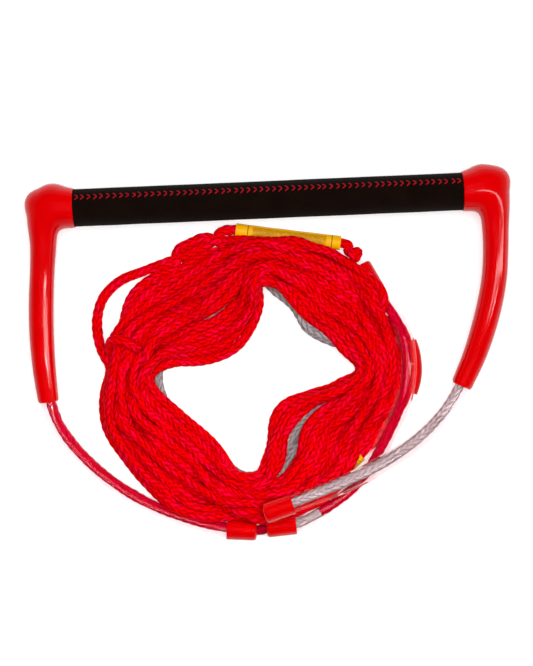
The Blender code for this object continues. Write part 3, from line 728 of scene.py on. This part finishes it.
def studio():
    """A dark room that pales towards the floor, four lamps, and white paper on the floor."""
    scene = bpy.context.scene
    scene.view_settings.view_transform = "Standard"
    world = bpy.data.worlds.new("studio")
    scene.world = world
    world.use_nodes = True
    tree = world.node_tree
    upward = node(tree, "ShaderNodeSeparateXYZ")
    link(tree, node(tree, "ShaderNodeTexCoord").outputs["Generated"], upward.inputs["Vector"])
    room = ramp(tree, upward.outputs["Z"], [(0.0, grey(0.55)), (0.30, grey(0.25)), (0.55, grey(0.0))])
    link(tree, room, tree.nodes["Background"].inputs["Color"])
    tree.nodes["Background"].inputs["Strength"].default_value = 1.0
    area_light("strip_right", (0.80, -0.05, 1.05), (0.07, 1.3), 3.6)
    area_light("strip_left", (0.45, -0.09, 0.88), (0.030, 0.50), 0.09, target=(-0.19, -0.09, 0.0),
               spread=30.0)
    area_light("box_top", (-0.02, -0.10, 1.50), (0.34, 0.10), 1.6, seen=False)
    area_light("soft_top", (0.0, 0.20, 1.60), (1.3, 1.3), 29.5, seen=False)

    mesh = bpy.data.meshes.new("floor")
    half = 3.0
    corners = [(x * half, y * half, 0) for x, y in ((-1, -1), (1, -1), (1, 1), (-1, 1))]
    mesh.from_pydata(corners, [], [(0, 1, 2, 3)])
    paper, tree, shader = base_material("white_paper", (0.61, 0.61, 0.61), 0.9)
    grain = noise(tree, object_place(tree), 400.0)
    paint(tree, shader, ramp(tree, grain, [(0.3, grey(0.605)), (0.7, grey(0.615))]))
    shader.inputs["Emission Color"].default_value = (1.0, 1.0, 1.0, 1.0)
    shader.inputs["Emission Strength"].default_value = 0.50
    floor = new_object("floor", mesh, paper)
    floor.location = (0.0, 0.0, -0.0002)  # just clear of the pieces that rest on it


def finish(piece, slot, *nodes, body=ROOT):
    """Hides the nodes that a piece stands for and puts the piece on the body that it rides on. Its slot is
    not used.
    """
    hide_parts(*nodes)
    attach(piece, body)
    return piece


# Cords

def heading(degrees):
    """The level direction at some degrees from +X."""
    return np.array([math.cos(math.radians(degrees)), math.sin(math.radians(degrees)), 0.0])


def cap_point(name, along):
    """A point on a tube end cap's axis, along metres from its middle towards its closed end."""
    return tuple(np.array(CAPS[name][0]) + along * heading(CAPS[name][1]))


def cap_axis(name):
    """A hose's way into its cap, as far as the cap's closed end."""
    end = CAP_LENGTH / 2 - CAP_END - GAP
    return [cap_point(name, along) for along in (-0.0150, -0.0050, end)]


def hose_route(arm, route, cap):
    mouth, above = np.array(arm[-1][:3]), np.array(arm[-2][:3])
    start = mouth + unit(above - mouth) * HOSE_IN_ARM
    points = [tuple(start), tuple(mouth)] + route + cap_axis(cap)
    return curve_through(placed(points), HOSE_STEP)


def leader_route():
    points = cap_axis("leader_cap_lower")[::-1] + LEADER_HOSE + cap_axis("leader_cap_upper")
    return curve_through(placed(points), HOSE_STEP)


def grey_route(step):
    return curve_through(placed([(x, y, ROPE_R) for x, y in GREY_ROUTE]), step)


def label_ends(name, spare=0.0):
    centre, degrees, length = LABELS[name]
    reach = (length / 2 + spare) * heading(degrees)
    return tuple(np.array(centre) - reach), tuple(np.array(centre) + reach)


def resting_height(point, fixed):
    """How high a turn's middle lies at a point, over whatever low piece is there."""
    height = ROPE_R
    for line, radius in fixed:
        away = np.linalg.norm(line[:, :2] - np.array(at(*point, 0.0))[:2], axis=1)
        near = int(away.argmin())
        reach = ROPE_R + radius
        if away[near] < reach and line[near, 2] < LOW_PIECE:
            height = max(height, line[near, 2] + math.sqrt(reach**2 - away[near] ** 2))
    return height


def slots(station, strands):
    """Where the turns cross a station, from the hole outwards: (share of the width, row)."""
    inner, outer, band, gap = COIL_STATIONS[station]
    width = math.dist(inner, outer)
    made = []
    first, last, rest = ROPE_R, width - ROPE_R, strands
    if band:
        for i in range(BUNCH_STRANDS):
            row = i // band
            made.append((ROPE_R + SPACING * (i % band + 0.5 * row), row))
        first = ROPE_R + SPACING * (band - 1) + 2 * ROPE_R + gap
        rest -= BUNCH_STRANDS
    slit = OUTER_SLITS.get(station, 0.0)
    count = max(2, int((last - first - slit) / SPACING + 1.02))
    spacing = (last - first - slit) / (count - 1)
    row = 0
    while rest > 0:
        columns = first + spacing * (np.arange(count - row % 2) + 0.5 * (row % 2))
        columns[-2:] += slit
        middle_out = columns[np.argsort(np.abs(columns - (first + last) / 2), kind="stable")]
        made += [(column, row) for column in middle_out[:rest]]
        rest -= len(columns)
        row += 1
    return sorted((distance / width, row) for distance, row in made)


def coil_knots(fixed):
    """The coil's turns as points where they cross each station, from the free loop's end onwards."""
    stations = len(COIL_STATIONS)
    total = TURNS * stations
    random = np.random.default_rng(11)
    index = np.arange(total)
    station_at = (START_STATION - index) % stations
    looked_up = index.copy()
    for low, high in BUNCH_RUNS:
        held = (station_at >= low) & (station_at <= high)
        looked_up[held] = index[held] + station_at[held] - (low + high) // 2
    looked_up = np.clip(looked_up, 0, total - 1)

    def wandering(spacing):
        return spline_at(random.random(total // spacing + 5), index / spacing + 1)[looked_up]

    rank = wandering(stations) + 0.25 * wandering(stations // 3)
    level = wandering(stations // 2)
    first_turn = index < stations
    rank[first_turn], level[first_turn] = 9.0, -9.0  # the first turn keeps to the outer edge, on the floor
    share, row = np.zeros(total), np.zeros(total)
    for station in range(stations):
        crossing = index[station_at == station]
        ordered = list(crossing[np.argsort(rank[crossing])])
        width = math.dist(*COIL_STATIONS[station][:2])
        columns = {}
        for slot in slots(station, len(crossing)):
            columns.setdefault(int(slot[0] * width / SPACING), []).append(slot)
        for key in sorted(columns):
            column = sorted(columns[key], key=lambda slot: slot[1])
            taken, ordered = ordered[: len(column)], ordered[len(column):]
            for n, (place, height) in zip(sorted(taken, key=lambda n: level[n]), column):
                share[n], row[n] = place, height
    for _ in range(2):
        share[1:-1] = (share[:-2] + 2 * share[1:-1] + share[2:]) / 4
        row[1:-1] = (row[:-2] + 2 * row[1:-1] + row[2:]) / 4
    places = np.zeros((total, 3))
    for n in index:
        inner, outer = (np.array(edge) for edge in COIL_STATIONS[station_at[n]][:2])
        places[n, :2] = inner + share[n] * (outer - inner)
        by_label = first_turn[n] and station_at[n] < 8  # the turn that runs through the lower label
        base = ROPE_R if by_label else resting_height(places[n, :2], fixed)
        places[n, 2] = base + row[n] * LAYER
    return places


def obstacle(points, radius):
    return curve_through(placed(points), 0.004), radius


def obstacles():
    """The pieces that the coil's turns lie against, as thick lines."""
    found = [
        (hose_route(LEFT_ARM, LEFT_HOSE, "bridle_cap_left"), HOSE_R),
        (hose_route(RIGHT_ARM, RIGHT_HOSE, "bridle_cap_right"), HOSE_R),
        (leader_route(), HOSE_R),
        obstacle(LOOP_GUARD, GUARD_R),
        obstacle([(LEADER_KNOT[0] + shift, *LEADER_KNOT[1:]) for shift in (-0.001, 0.001)], 0.0070),
    ]
    for name in CAPS:
        found.append(obstacle([cap_point(name, -0.0115), cap_point(name, 0.0115)], CAP_R))
    for name in LABELS:
        found.append(obstacle(label_ends(name), LABEL_R))
    found.append((grey_route(0.004), ROPE_R - 0.0006))
    return found


def push_apart(points, tangents, others, other_tangents, i, j, reach):
    """Sideways moves for points i away from others j, where two round strands would overlap."""
    gap = others[j] - points[i]
    way = tangents[i]
    sign = np.sign((way * other_tangents[j]).sum(1, keepdims=True))
    way = unit(way + np.where(sign == 0, 1, sign) * other_tangents[j])
    along = (gap * way).sum(1, keepdims=True)
    across = gap - along * way
    distance = np.linalg.norm(across, axis=1)
    near = (np.abs(along[:, 0]) < 0.8 * STEP) & (distance < reach)
    i, j, across, distance = i[near], j[near], across[near], distance[near]
    amount = (reach[near] if np.ndim(reach) else reach) - distance
    return i, j, -unit(across) * amount[:, None]


def settle(line, pinned, fixed):
    """Lets the rope sink, spread and bed down until its turns lie beside and on each other."""
    start = line.copy()
    count = len(line)
    free = ~pinned
    solid = np.vstack([points for points, _ in fixed])
    solid_tangent = np.vstack([unit(np.gradient(points, axis=0)) for points, _ in fixed])
    solid_radius = np.concatenate([np.full(len(points), radius) for points, radius in fixed])
    pairs = solid_pairs = None
    for turn in range(SETTLE_ROUNDS):
        if turn % SEARCH_EVERY == 0:
            square = (line**2).sum(1)
            apart = square[:, None] + square[None, :] - 2 * line @ line.T
            pairs = np.nonzero(np.triu(apart < NEAR_TURN**2, 6))
            apart = square[:, None] + (solid**2).sum(1)[None, :] - 2 * line @ solid.T
            solid_pairs = np.nonzero(apart < NEAR_PIECE**2)
        cooling = 1 - turn / SETTLE_ROUNDS
        line[free, 2] -= SINK * (0.25 + 0.75 * cooling)
        line[free, :2] += HOLD * (start - line)[free, :2]
        tangent = unit(np.gradient(line, axis=0))
        move, times = np.zeros_like(line), np.zeros(count)
        i, j, shift = push_apart(line, tangent, line, tangent, *pairs, SPACING)
        for k in range(3):
            move[:, k] += np.bincount(i, shift[:, k] / 2, count) - np.bincount(j, shift[:, k] / 2, count)
        times += np.bincount(i, minlength=count) + np.bincount(j, minlength=count)
        i, j, shift = push_apart(line, tangent, solid, solid_tangent, *solid_pairs,
                                 ROPE_R + solid_radius[solid_pairs[1]] - GIVE)
        for k in range(3):
            move[:, k] += np.bincount(i, shift[:, k], count)
        times += np.bincount(i, minlength=count)
        move /= np.maximum(times, 1)[:, None] ** 0.6
        line[free] += move[free]
        bend = np.zeros_like(line)
        bend[2:-2] = line[:-4] - 4 * line[1:-3] + 6 * line[2:-2] - 4 * line[3:-1] + line[4:]
        line[free] -= STIFFNESS * bend[free]
        line[free, 2] = np.maximum(line[free, 2], ROPE_R - GIVE)
    return line


def main_line_route(fixed):
    """The whole main line: knot, upper label, free loop, every turn of the coil and the hitch."""
    first, last = label_ends("label_sleeve_upper", 0.003)
    lead_in = [LEADER_KNOT[:2] + (0.0062,), (0.0595, -0.0415, 0.0058), last, first,
               (-0.0440, -0.0300, 0.0048), (-0.0660, -0.0400, 0.0043)] + FREE_LOOP
    knots = coil_knots(fixed)
    before_label = (START_STATION - 7) % len(COIL_STATIONS)  # the first turn runs through the lower label
    first_turn = [tuple(p) for p in knots[: before_label + 1]]
    first_turn += list(label_ends("label_sleeve_lower", 0.003))
    after_label = [tuple(p) for p in knots[before_label + 4: START_STATION + 1]]
    pinned_part = lead_in + first_turn + after_label
    rest = [tuple(p) for p in knots[START_STATION + 1:]]
    line = curve_through(placed(pinned_part + rest + HITCH), STEP)
    pinned = np.zeros(len(line), bool)
    pinned[: len(curve_through(placed(pinned_part), STEP)) - 2] = True
    pinned[-len(curve_through(placed(HITCH), STEP)):] = True
    return line, pinned


def cords():
    """The free cords: main line, grey line under it, and boat-end loop with its guard."""
    fixed = obstacles()
    line, pinned = main_line_route(fixed)
    line = settle(line, pinned, fixed)
    line = smoothed(curve_through(line, CORD_STEP), 6)
    share = np.array_split(np.arange(len(line) - 1), len(MAIN_SECTIONS))
    start_at = 0.0
    for (name, stands_for), part in zip(MAIN_SECTIONS.items(), share):
        piece, path = braided_rope(name, line[part[0]: part[-1] + 2], RED_ROPE, radius=MAIN_LINE_R, seed=5,
                                   start_at=start_at)
        start_at += length_of(path)
        finish(piece, "red_rope", *stands_for)

    piece, path = braided_rope("handle_line", grey_route(CORD_STEP), GREY_ROPE, seed=31)
    finish(piece, "grey_rope", "handle_line_coil")

    guard_line = curve_through(placed(LOOP_GUARD), CORD_STEP)
    guard = walled_tube("boat_loop_guard_shell", guard_line, GUARD_R, GUARD_WALL, DULL_VINYL)
    finish(guard, "red_vinyl", "boat_loop_guard")
    loop = LOOP_START + LOOP_GUARD + LOOP_END
    piece, path = braided_rope("boat_loop", curve_through(placed(loop), CORD_STEP), RED_ROPE, seed=41)
    finish(piece, "red_rope", "boat_loop_rope")


def in_hose(route, offset):
    """The line of a rope that lies against the inner side of its hose's bend."""
    curve = np.gradient(np.gradient(route, axis=0), axis=0)
    tangent = unit(np.gradient(route, axis=0))
    curve -= (curve * tangent).sum(1, keepdims=True) * tangent
    curve = smoothed(unit(smoothed(curve, 10) + 1e-9), 10)
    line = route + unit(curve) * offset
    return smoothed(line, 10)


def tube_cap(name):
    """A dipped vinyl cap on a hose's end, with a soft lip at its mouth and a domed end."""
    half = CAP_LENGTH / 2
    profile = rounded([(0.0002, half), (CAP_R, half), (CAP_R, -half), (HOSE_R + 0.0001, -half),
                       (HOSE_R + 0.0001, half - CAP_END), (0.0002, half - CAP_END)], 0.0030)
    seed = sum(map(ord, name))

    def relief(angle, along):
        waves = 0.00010 * np.sin(2 * angle + seed) + 0.00008 * np.sin(900 * along / 2 + seed)
        return np.where(np.abs(along) < half - 0.001, waves, 0.5 * waves)

    centre, degrees = CAPS[name]
    piece = turned(f"{name}_dipped", profile, at(*centre), heading(degrees), RED_VINYL, 56, relief)
    return finish(piece, "red_vinyl", name)


def bridle():
    """Both legs' hoses and ropes, with their end caps."""
    for word, side, arm, route, look, slot in (
            ("left", -1, LEFT_ARM, LEFT_HOSE, HOSE_SHADED_RED_ROPE, "red_rope"),
            ("right", 1, RIGHT_ARM, RIGHT_HOSE, GREY_ROPE, "grey_rope")):
        cap_name = f"bridle_cap_{word}"
        cap = tube_cap(cap_name)
        line = hose_route(arm, route, cap_name)
        hose = walled_tube(f"hose_{word}", line, HOSE_R, HOSE_WALL, CLEAR_HOSE)
        finish(hose, "clear_hose", f"bridle_hose_{word}")
        start = [(side * x, y, z) for x, y, z in rope_bend()] + [p[:3] for p in arm[3:-1]]
        in_arm = curve_through(placed(start), HOSE_STEP)
        whole = np.vstack([in_arm, in_hose(line, HOSE_R - HOSE_WALL - ROPE_R - GAP)[12:]])
        if word == "left":  # this rope goes on into the leader's cap
            onwards = [cap_point(cap_name, along) for along in (0.0060, 0.0160)]
            whole = np.vstack([whole, placed(onwards + [cap_point("leader_cap_lower", 0.0090)])])
        whole = smoothed(resampled(whole, HOSE_STEP), 8)
        rope, _ = braided_rope(f"rope_{word}", whole, look, seed=51 + side)
        finish(rope, slot, f"bridle_rope_{word}")


def rope_bend():
    """A bridle rope's way from inside the bar round into the arm, for the right side."""
    points = [(0.1520, 0.0, BAR_Z), (0.1595, 0.0, BAR_Z)]
    radius = 0.0160
    for step in range(5):
        angle = math.radians(90 - 22.5 * step)
        x, y = 0.1670 + radius * math.cos(angle), radius * (math.sin(angle) - 1)
        points.append((x, y, BAR_Z - 0.0002 * step))
    return points


def leader():
    lower, upper = tube_cap("leader_cap_lower"), tube_cap("leader_cap_upper")
    line = leader_route()
    hose = walled_tube("hose_leader", line, HOSE_R, HOSE_WALL, CLEAR_HOSE)
    finish(hose, "clear_hose", "leader_hose")
    core = resampled(in_hose(line, 0.0004), CORD_STEP)
    split = round(SPLICE_LENGTH / CORD_STEP)
    splice, _ = braided_rope("splice", core[: split + 1], GREY_ROPE, seed=61)
    finish(splice, "grey_rope", "leader_splice")
    rope, _ = braided_rope("leader_core", core[split:], HOSE_SHADED_RED_ROPE, seed=63)
    finish(rope, "red_rope", "leader_rope")
    knot = leader_knot()


def leader_knot():
    """A small tight overhand knot where the leader meets the main line."""
    t = angles_round(90)[:-3]
    x, y = np.sin(t) + 2 * np.sin(2 * t), np.cos(t) - 2 * np.cos(2 * t)
    loop = np.stack([x, y, -np.sin(3 * t) * 1.5], axis=1) * 0.00125
    c, s, _ = heading(122)
    loop = loop @ np.array([[c, s, 0], [-s, c, 0], [0, 0, 1]])
    loop += placed([LEADER_KNOT])[0]
    knot, _ = braided_rope("leader_knot_tied", loop, RED_ROPE, radius=KNOT_ROPE_R, seed=71)
    return finish(knot, "red_rope", "leader_knot")


# Shells, grip and small pieces

def round_cone_distance(points, a, b, ra, rb):
    a, b = np.array(a), np.array(b)
    t = np.clip((points - a) @ (b - a) / ((b - a) @ (b - a)), 0, 1)
    return np.linalg.norm(points - a - t[:, None] * (b - a), axis=1) - (ra + t * (rb - ra))


def blended(a, b, width):
    """The union of two shapes with a fillet of about that width."""
    h = np.clip(0.5 + 0.5 * (b - a) / width, 0, 1)
    return b * (1 - h) + a * h - width * h * (1 - h)


def soft_edged(across, along, edge):
    """The distance to where two flat limits meet in a rounded edge."""
    flat = np.stack([across + edge, along + edge], axis=1)
    return np.minimum(flat.max(1), 0) + np.linalg.norm(np.maximum(flat, 0), axis=1) - edge


def end_cap_distance(points, arm, humps, side):
    """How far points are from the surface of a moulded end, negative inside it."""
    route = curve_through(arm, 0.003)
    limb = np.full(len(points), 1.0)
    for p, q in zip(route, route[1:]):
        a, b = at(*p[:3]), at(*q[:3])
        limb = np.minimum(limb, round_cone_distance(points, a, b, p[3], q[3]))
    mouth, above = np.array(at(*route[-1][:3])), np.array(at(*route[-2][:3]))
    way = unit(mouth - above)
    limb = soft_edged(limb, (points - mouth) @ way, ARM_EDGE)
    along = side * (points[:, 0] - BAR_X)
    away = np.hypot(points[:, 1] - BAR_Y, points[:, 2] - BAR_Z)
    half, middle = (COLLAR_END - COLLAR_MOUTH) / 2, (COLLAR_END + COLLAR_MOUTH) / 2
    collar = soft_edged(away - COLLAR_R, np.abs(along - middle) - half, COLLAR_EDGE)
    for hump in humps:
        swelling = np.linalg.norm(points - np.array(at(*hump[:3])), axis=1) - hump[3]
        limb = blended(limb, swelling, HUMP_BLEND)
    return blended(limb, collar, COLLAR_BLEND)


def averaged(values, edges, rounds):
    """Values at a mesh's points, each moved towards the mean of its neighbours some number of times."""
    count = np.maximum(np.bincount(edges.ravel(), minlength=len(values)), 1)[:, None]
    for _ in range(rounds):
        total = np.stack([np.bincount(edges[:, 0], values[edges[:, 1], k], len(values))
                          + np.bincount(edges[:, 1], values[edges[:, 0], k], len(values))
                          for k in range(3)], axis=1)
        values = 0.4 * values + 0.6 * total / count
    return values


def smooth_skin(mesh, arm, humps, side):
    """Gives the skin of a moulded end soft, even normals, and leaves its bores as they are."""
    points = values_of(mesh.vertices, "co", 3)
    corners = values_of(mesh.loops, "vertex_index", 1, np.int32)[:, 0]
    found = values_of(mesh.corner_normals, "vector", 3, np.float32)
    skin = np.abs(end_cap_distance(points, arm, humps, side)) < SKIN_DEPTH
    edges = values_of(mesh.edges, "vertices", 2, np.int32)
    edges = edges[skin[edges].all(1)]
    reach = 0.0003
    slope = unit(np.stack([end_cap_distance(points + reach * axis, arm, humps, side)
                           - end_cap_distance(points - reach * axis, arm, humps, side)
                           for axis in np.eye(3)], axis=1))
    slope = unit(averaged(slope, edges, EVEN_ROUNDS))[corners]
    even = skin[corners] & ((slope * found).sum(1) > 0.5)
    found[even] = slope[even]
    mesh.normals_split_custom_set(found.tolist())


def end_cap(word, arm, humps, side):
    """A moulded end: arm, swollen knuckle and collar in one skin, with the bar's socket cut in it."""
    name = f"end_cap_{word}_moulded"
    collar = [(side * x, 0.0, BAR_Z, COLLAR_R) for x in np.linspace(COLLAR_MOUTH + 0.008, 0.170, 5)]
    made = bmesh.new()
    for x, y, height, radius in (*curve_through(arm, 0.006)[:-1], *humps, *collar):
        ball = bmesh.ops.create_uvsphere(made, u_segments=16, v_segments=10, radius=radius)
        bmesh.ops.translate(made, verts=ball["verts"], vec=Vector(at(x, y, height)))
    mesh = bpy.data.meshes.new(name)
    made.to_mesh(mesh)
    made.free()
    rough = new_object(f"{name}_rough", mesh, None)
    remesh = rough.modifiers.new("skin", "REMESH")
    remesh.mode = "VOXEL"
    remesh.voxel_size = VOXEL
    skin = bpy.data.meshes.new_from_object(rough.evaluated_get(bpy.context.evaluated_depsgraph_get()))
    bpy.data.objects.remove(rough)
    points = values_of(skin.vertices, "co", 3)
    step = 0.0002
    for _ in range(5):
        distance = end_cap_distance(points, arm, humps, side)
        slope = np.stack([end_cap_distance(points + step * axis, arm, humps, side) - distance
                          for axis in np.eye(3)], axis=1) / step
        move = distance[:, None] * slope / np.maximum((slope**2).sum(1, keepdims=True), 0.25)
        points -= np.clip(move, -0.004, 0.004)
    points = averaged(points, values_of(skin.edges, "vertices", 2, np.int32), 4)
    points[:, 2] = np.maximum(points[:, 2], 0.0)
    skin.vertices.foreach_set("co", points.ravel())
    skin.update()
    skin.shade_smooth()
    piece = new_object(name, skin, RED_VINYL)

    lip, outside, centre = GRIP_HALF + GAP, COLLAR_MOUTH - 0.004, 0.00001
    profile = [(centre, SOCKET_END), (SOCKET_R, SOCKET_END), (SOCKET_R, lip), (LIP_R, lip),
               (LIP_R, outside), (centre, outside)]
    socket = turned(f"{name}_socket", profile, at(0.0, 0.0, BAR_Z), (side, 0.0, 0.0), None)
    hose_start = (LEFT_HOSE if side < 0 else RIGHT_HOSE)[0]
    line = curve_through(placed([p[:3] for p in arm[-3:]] + [hose_start]), HOSE_STEP)
    sides = 32
    wall = tube_points(line, HOSE_R + 0.0002, sides).reshape(-1, 3)
    points = np.vstack([wall, line[0], line[-1]])
    bore = mesh_of(f"{name}_bore", points, closed_tube_faces(len(line), sides))
    bore = new_object(bore.name, bore, None)
    for cutter in (socket, bore):
        modifier = piece.modifiers.new(cutter.name, "BOOLEAN")
        modifier.operation = "DIFFERENCE"
        modifier.solver = "MANIFOLD"
        modifier.object = cutter
    finished = bpy.data.meshes.new_from_object(piece.evaluated_get(bpy.context.evaluated_depsgraph_get()))
    piece.modifiers.clear()
    piece.data = finished
    finished.set_sharp_from_angle(angle=math.radians(50))
    smooth_skin(finished, arm, humps, side)
    for cutter in (socket, bore):
        bpy.data.objects.remove(cutter)
    finish(piece, "red_vinyl", f"end_cap_{word}")


def grip():
    """The suede wrap, butted along its seam, with a pucker at each stitch."""
    sides, rings = 96, 420
    x = np.linspace(-GRIP_HALF, GRIP_HALF, rings)
    angle = angles_round(sides)
    random = np.random.default_rng(3)
    radius = np.full((rings, sides), GRIP_R)
    away = np.angle(np.exp(1j * (angle - SEAM_ANGLE))) * GRIP_R
    in_seam = np.clip((SEAM_HALF + 0.002 - np.abs(x)) / 0.002, 0, 1)
    groove = np.exp(-(away / 0.0007) ** 2)
    pucker = 0.5 + 0.5 * np.cos(2 * math.pi * x / STITCH_PITCH)
    rim = np.exp(-((np.abs(away) - 0.0026) / 0.0012) ** 2)
    radius -= 0.00030 * groove[None, :] * in_seam[:, None]
    radius -= 0.00016 * rim[None, :] * (pucker * in_seam)[:, None]
    lumps = np.zeros_like(radius)
    for _ in range(14):
        a, b = random.uniform(20, 160), random.integers(1, 5)
        along = np.sin(a * x[:, None] + random.uniform(0, 6.28))
        lumps += along * np.cos(b * angle[None, :] + random.uniform(0, 6.28))
    radius += 0.00003 * lumps - 0.00008
    skins = [np.stack([x[:, None] + 0 * radius, r * np.sin(angle)[None, :], r * np.cos(angle)[None, :]],
                      axis=-1).reshape(-1, 3) for r in (radius, 0 * radius + FOAM_R + 0.0002)]
    points = np.vstack(skins) + np.array(at(0.0, 0.0, BAR_Z))
    mesh = mesh_of("suede_wrap", points, two_skin_faces(rings, sides))
    face_outwards(mesh)
    finish(new_object("suede_wrap", mesh, SUEDE), "suede", "grip_wrap", body=BAR_BODY)


def stitching():
    """A row of chevron stitches along the seam, each of two short threads that dip into the suede."""
    random = np.random.default_rng(17)
    points, faces = [], []
    sides, rings = 8, 9
    count = round(2 * SEAM_HALF / STITCH_PITCH)
    for i in range(count):
        x = -SEAM_HALF + (i + 0.5) * STITCH_PITCH + random.normal() * 0.00025
        lean = random.normal() * 0.10
        tall = CHEVRON_TALL * (1 + random.normal() * 0.07)
        for side in (-1, 1):
            start = np.array([x - CHEVRON_HALF, side * tall + lean * 0.001])
            end = np.array([x + CHEVRON_HALF + lean * 0.0004, side * 0.0001])
            t = np.linspace(0, 1, rings)
            flat = start + t[:, None] * (end - start)
            lift = GRIP_R + 0.00010 + 0.00042 * np.sin(math.pi * t) ** 0.6
            turn = SEAM_ANGLE + flat[:, 1] / GRIP_R
            line = np.stack([flat[:, 0], lift * np.sin(turn), lift * np.cos(turn)], axis=1)
            thick = THREAD_R * (0.55 + 0.45 * np.sin(math.pi * t) ** 0.5)
            base = len(points) * rings * sides
            points.append(tube_points(line, thick, sides).reshape(-1, 3))
            faces += (tube_faces(rings, sides) + base).tolist()
            faces.append([base + j for j in range(sides)][::-1])
            faces.append([base + (rings - 1) * sides + j for j in range(sides)])
    mesh = mesh_of("chevron_stitches", np.vstack(points) + np.array(at(0.0, 0.0, BAR_Z)), faces)
    finish(new_object("chevron_stitches", mesh, THREAD), "thread", "grip_seam", body=BAR_BODY)


def label_sleeve(name, body):
    """A thin yellow sleeve, a little flattened and flared at its ends."""
    centre, degrees, length = LABELS[name]
    half, axis = length / 2, heading(degrees)
    steps = np.linspace(-half, half, 60)
    outer = [(LABEL_R + 0.0002 * np.exp(-(half - abs(s)) / 0.003), s) for s in steps[::-1]]
    inner = [(r - LABEL_WALL * 0.6, s) for r, s in outer[::-1]]
    seed = len(name) + degrees

    def relief(angle, along):
        folds = np.sin(260 * along + seed) * np.cos(3 * angle + 60 * along)
        return 0.00022 * np.cos(2 * angle + 0.3) + 0.00010 * folds

    piece = turned(f"{name}_printed", outer + inner, at(*centre), axis, LABEL, 40, relief)
    local = np.array([v.co for v in piece.data.vertices]) - np.array(at(*centre))
    along = local @ axis
    other = np.array([-axis[1], axis[0], 0.0])
    around = np.arctan2(local @ other, local[:, 2])
    add_values(piece.data, "label_along", along / length + 0.5)
    add_values(piece.data, "label_around", around)
    finish(piece, "label", name, body=body)


def hidden_pieces():
    """The CAD pieces inside the handle, which keep their shape and get real surfaces."""
    looks = {
        "bar_tube": ALUMINIUM,
        "grip_foam": FOAM,
        "bar_plug_left": NYLON,
        "bar_plug_right": NYLON,
        "stop_knot_left": THREAD,
        "stop_knot_right": NYLON,
    }
    for name, look in looks.items():
        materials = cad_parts[name].data.materials
        materials.clear()
        materials.append(look)


camera()
cords()
bridle()
leader()
end_cap("left", LEFT_ARM, LEFT_HUMPS, -1)
end_cap("right", RIGHT_ARM, RIGHT_HUMPS, 1)
grip()
stitching()
label_sleeve("label_sleeve_upper", LABEL_BODY)
label_sleeve("label_sleeve_lower", ROOT)
hidden_pieces()
studio()
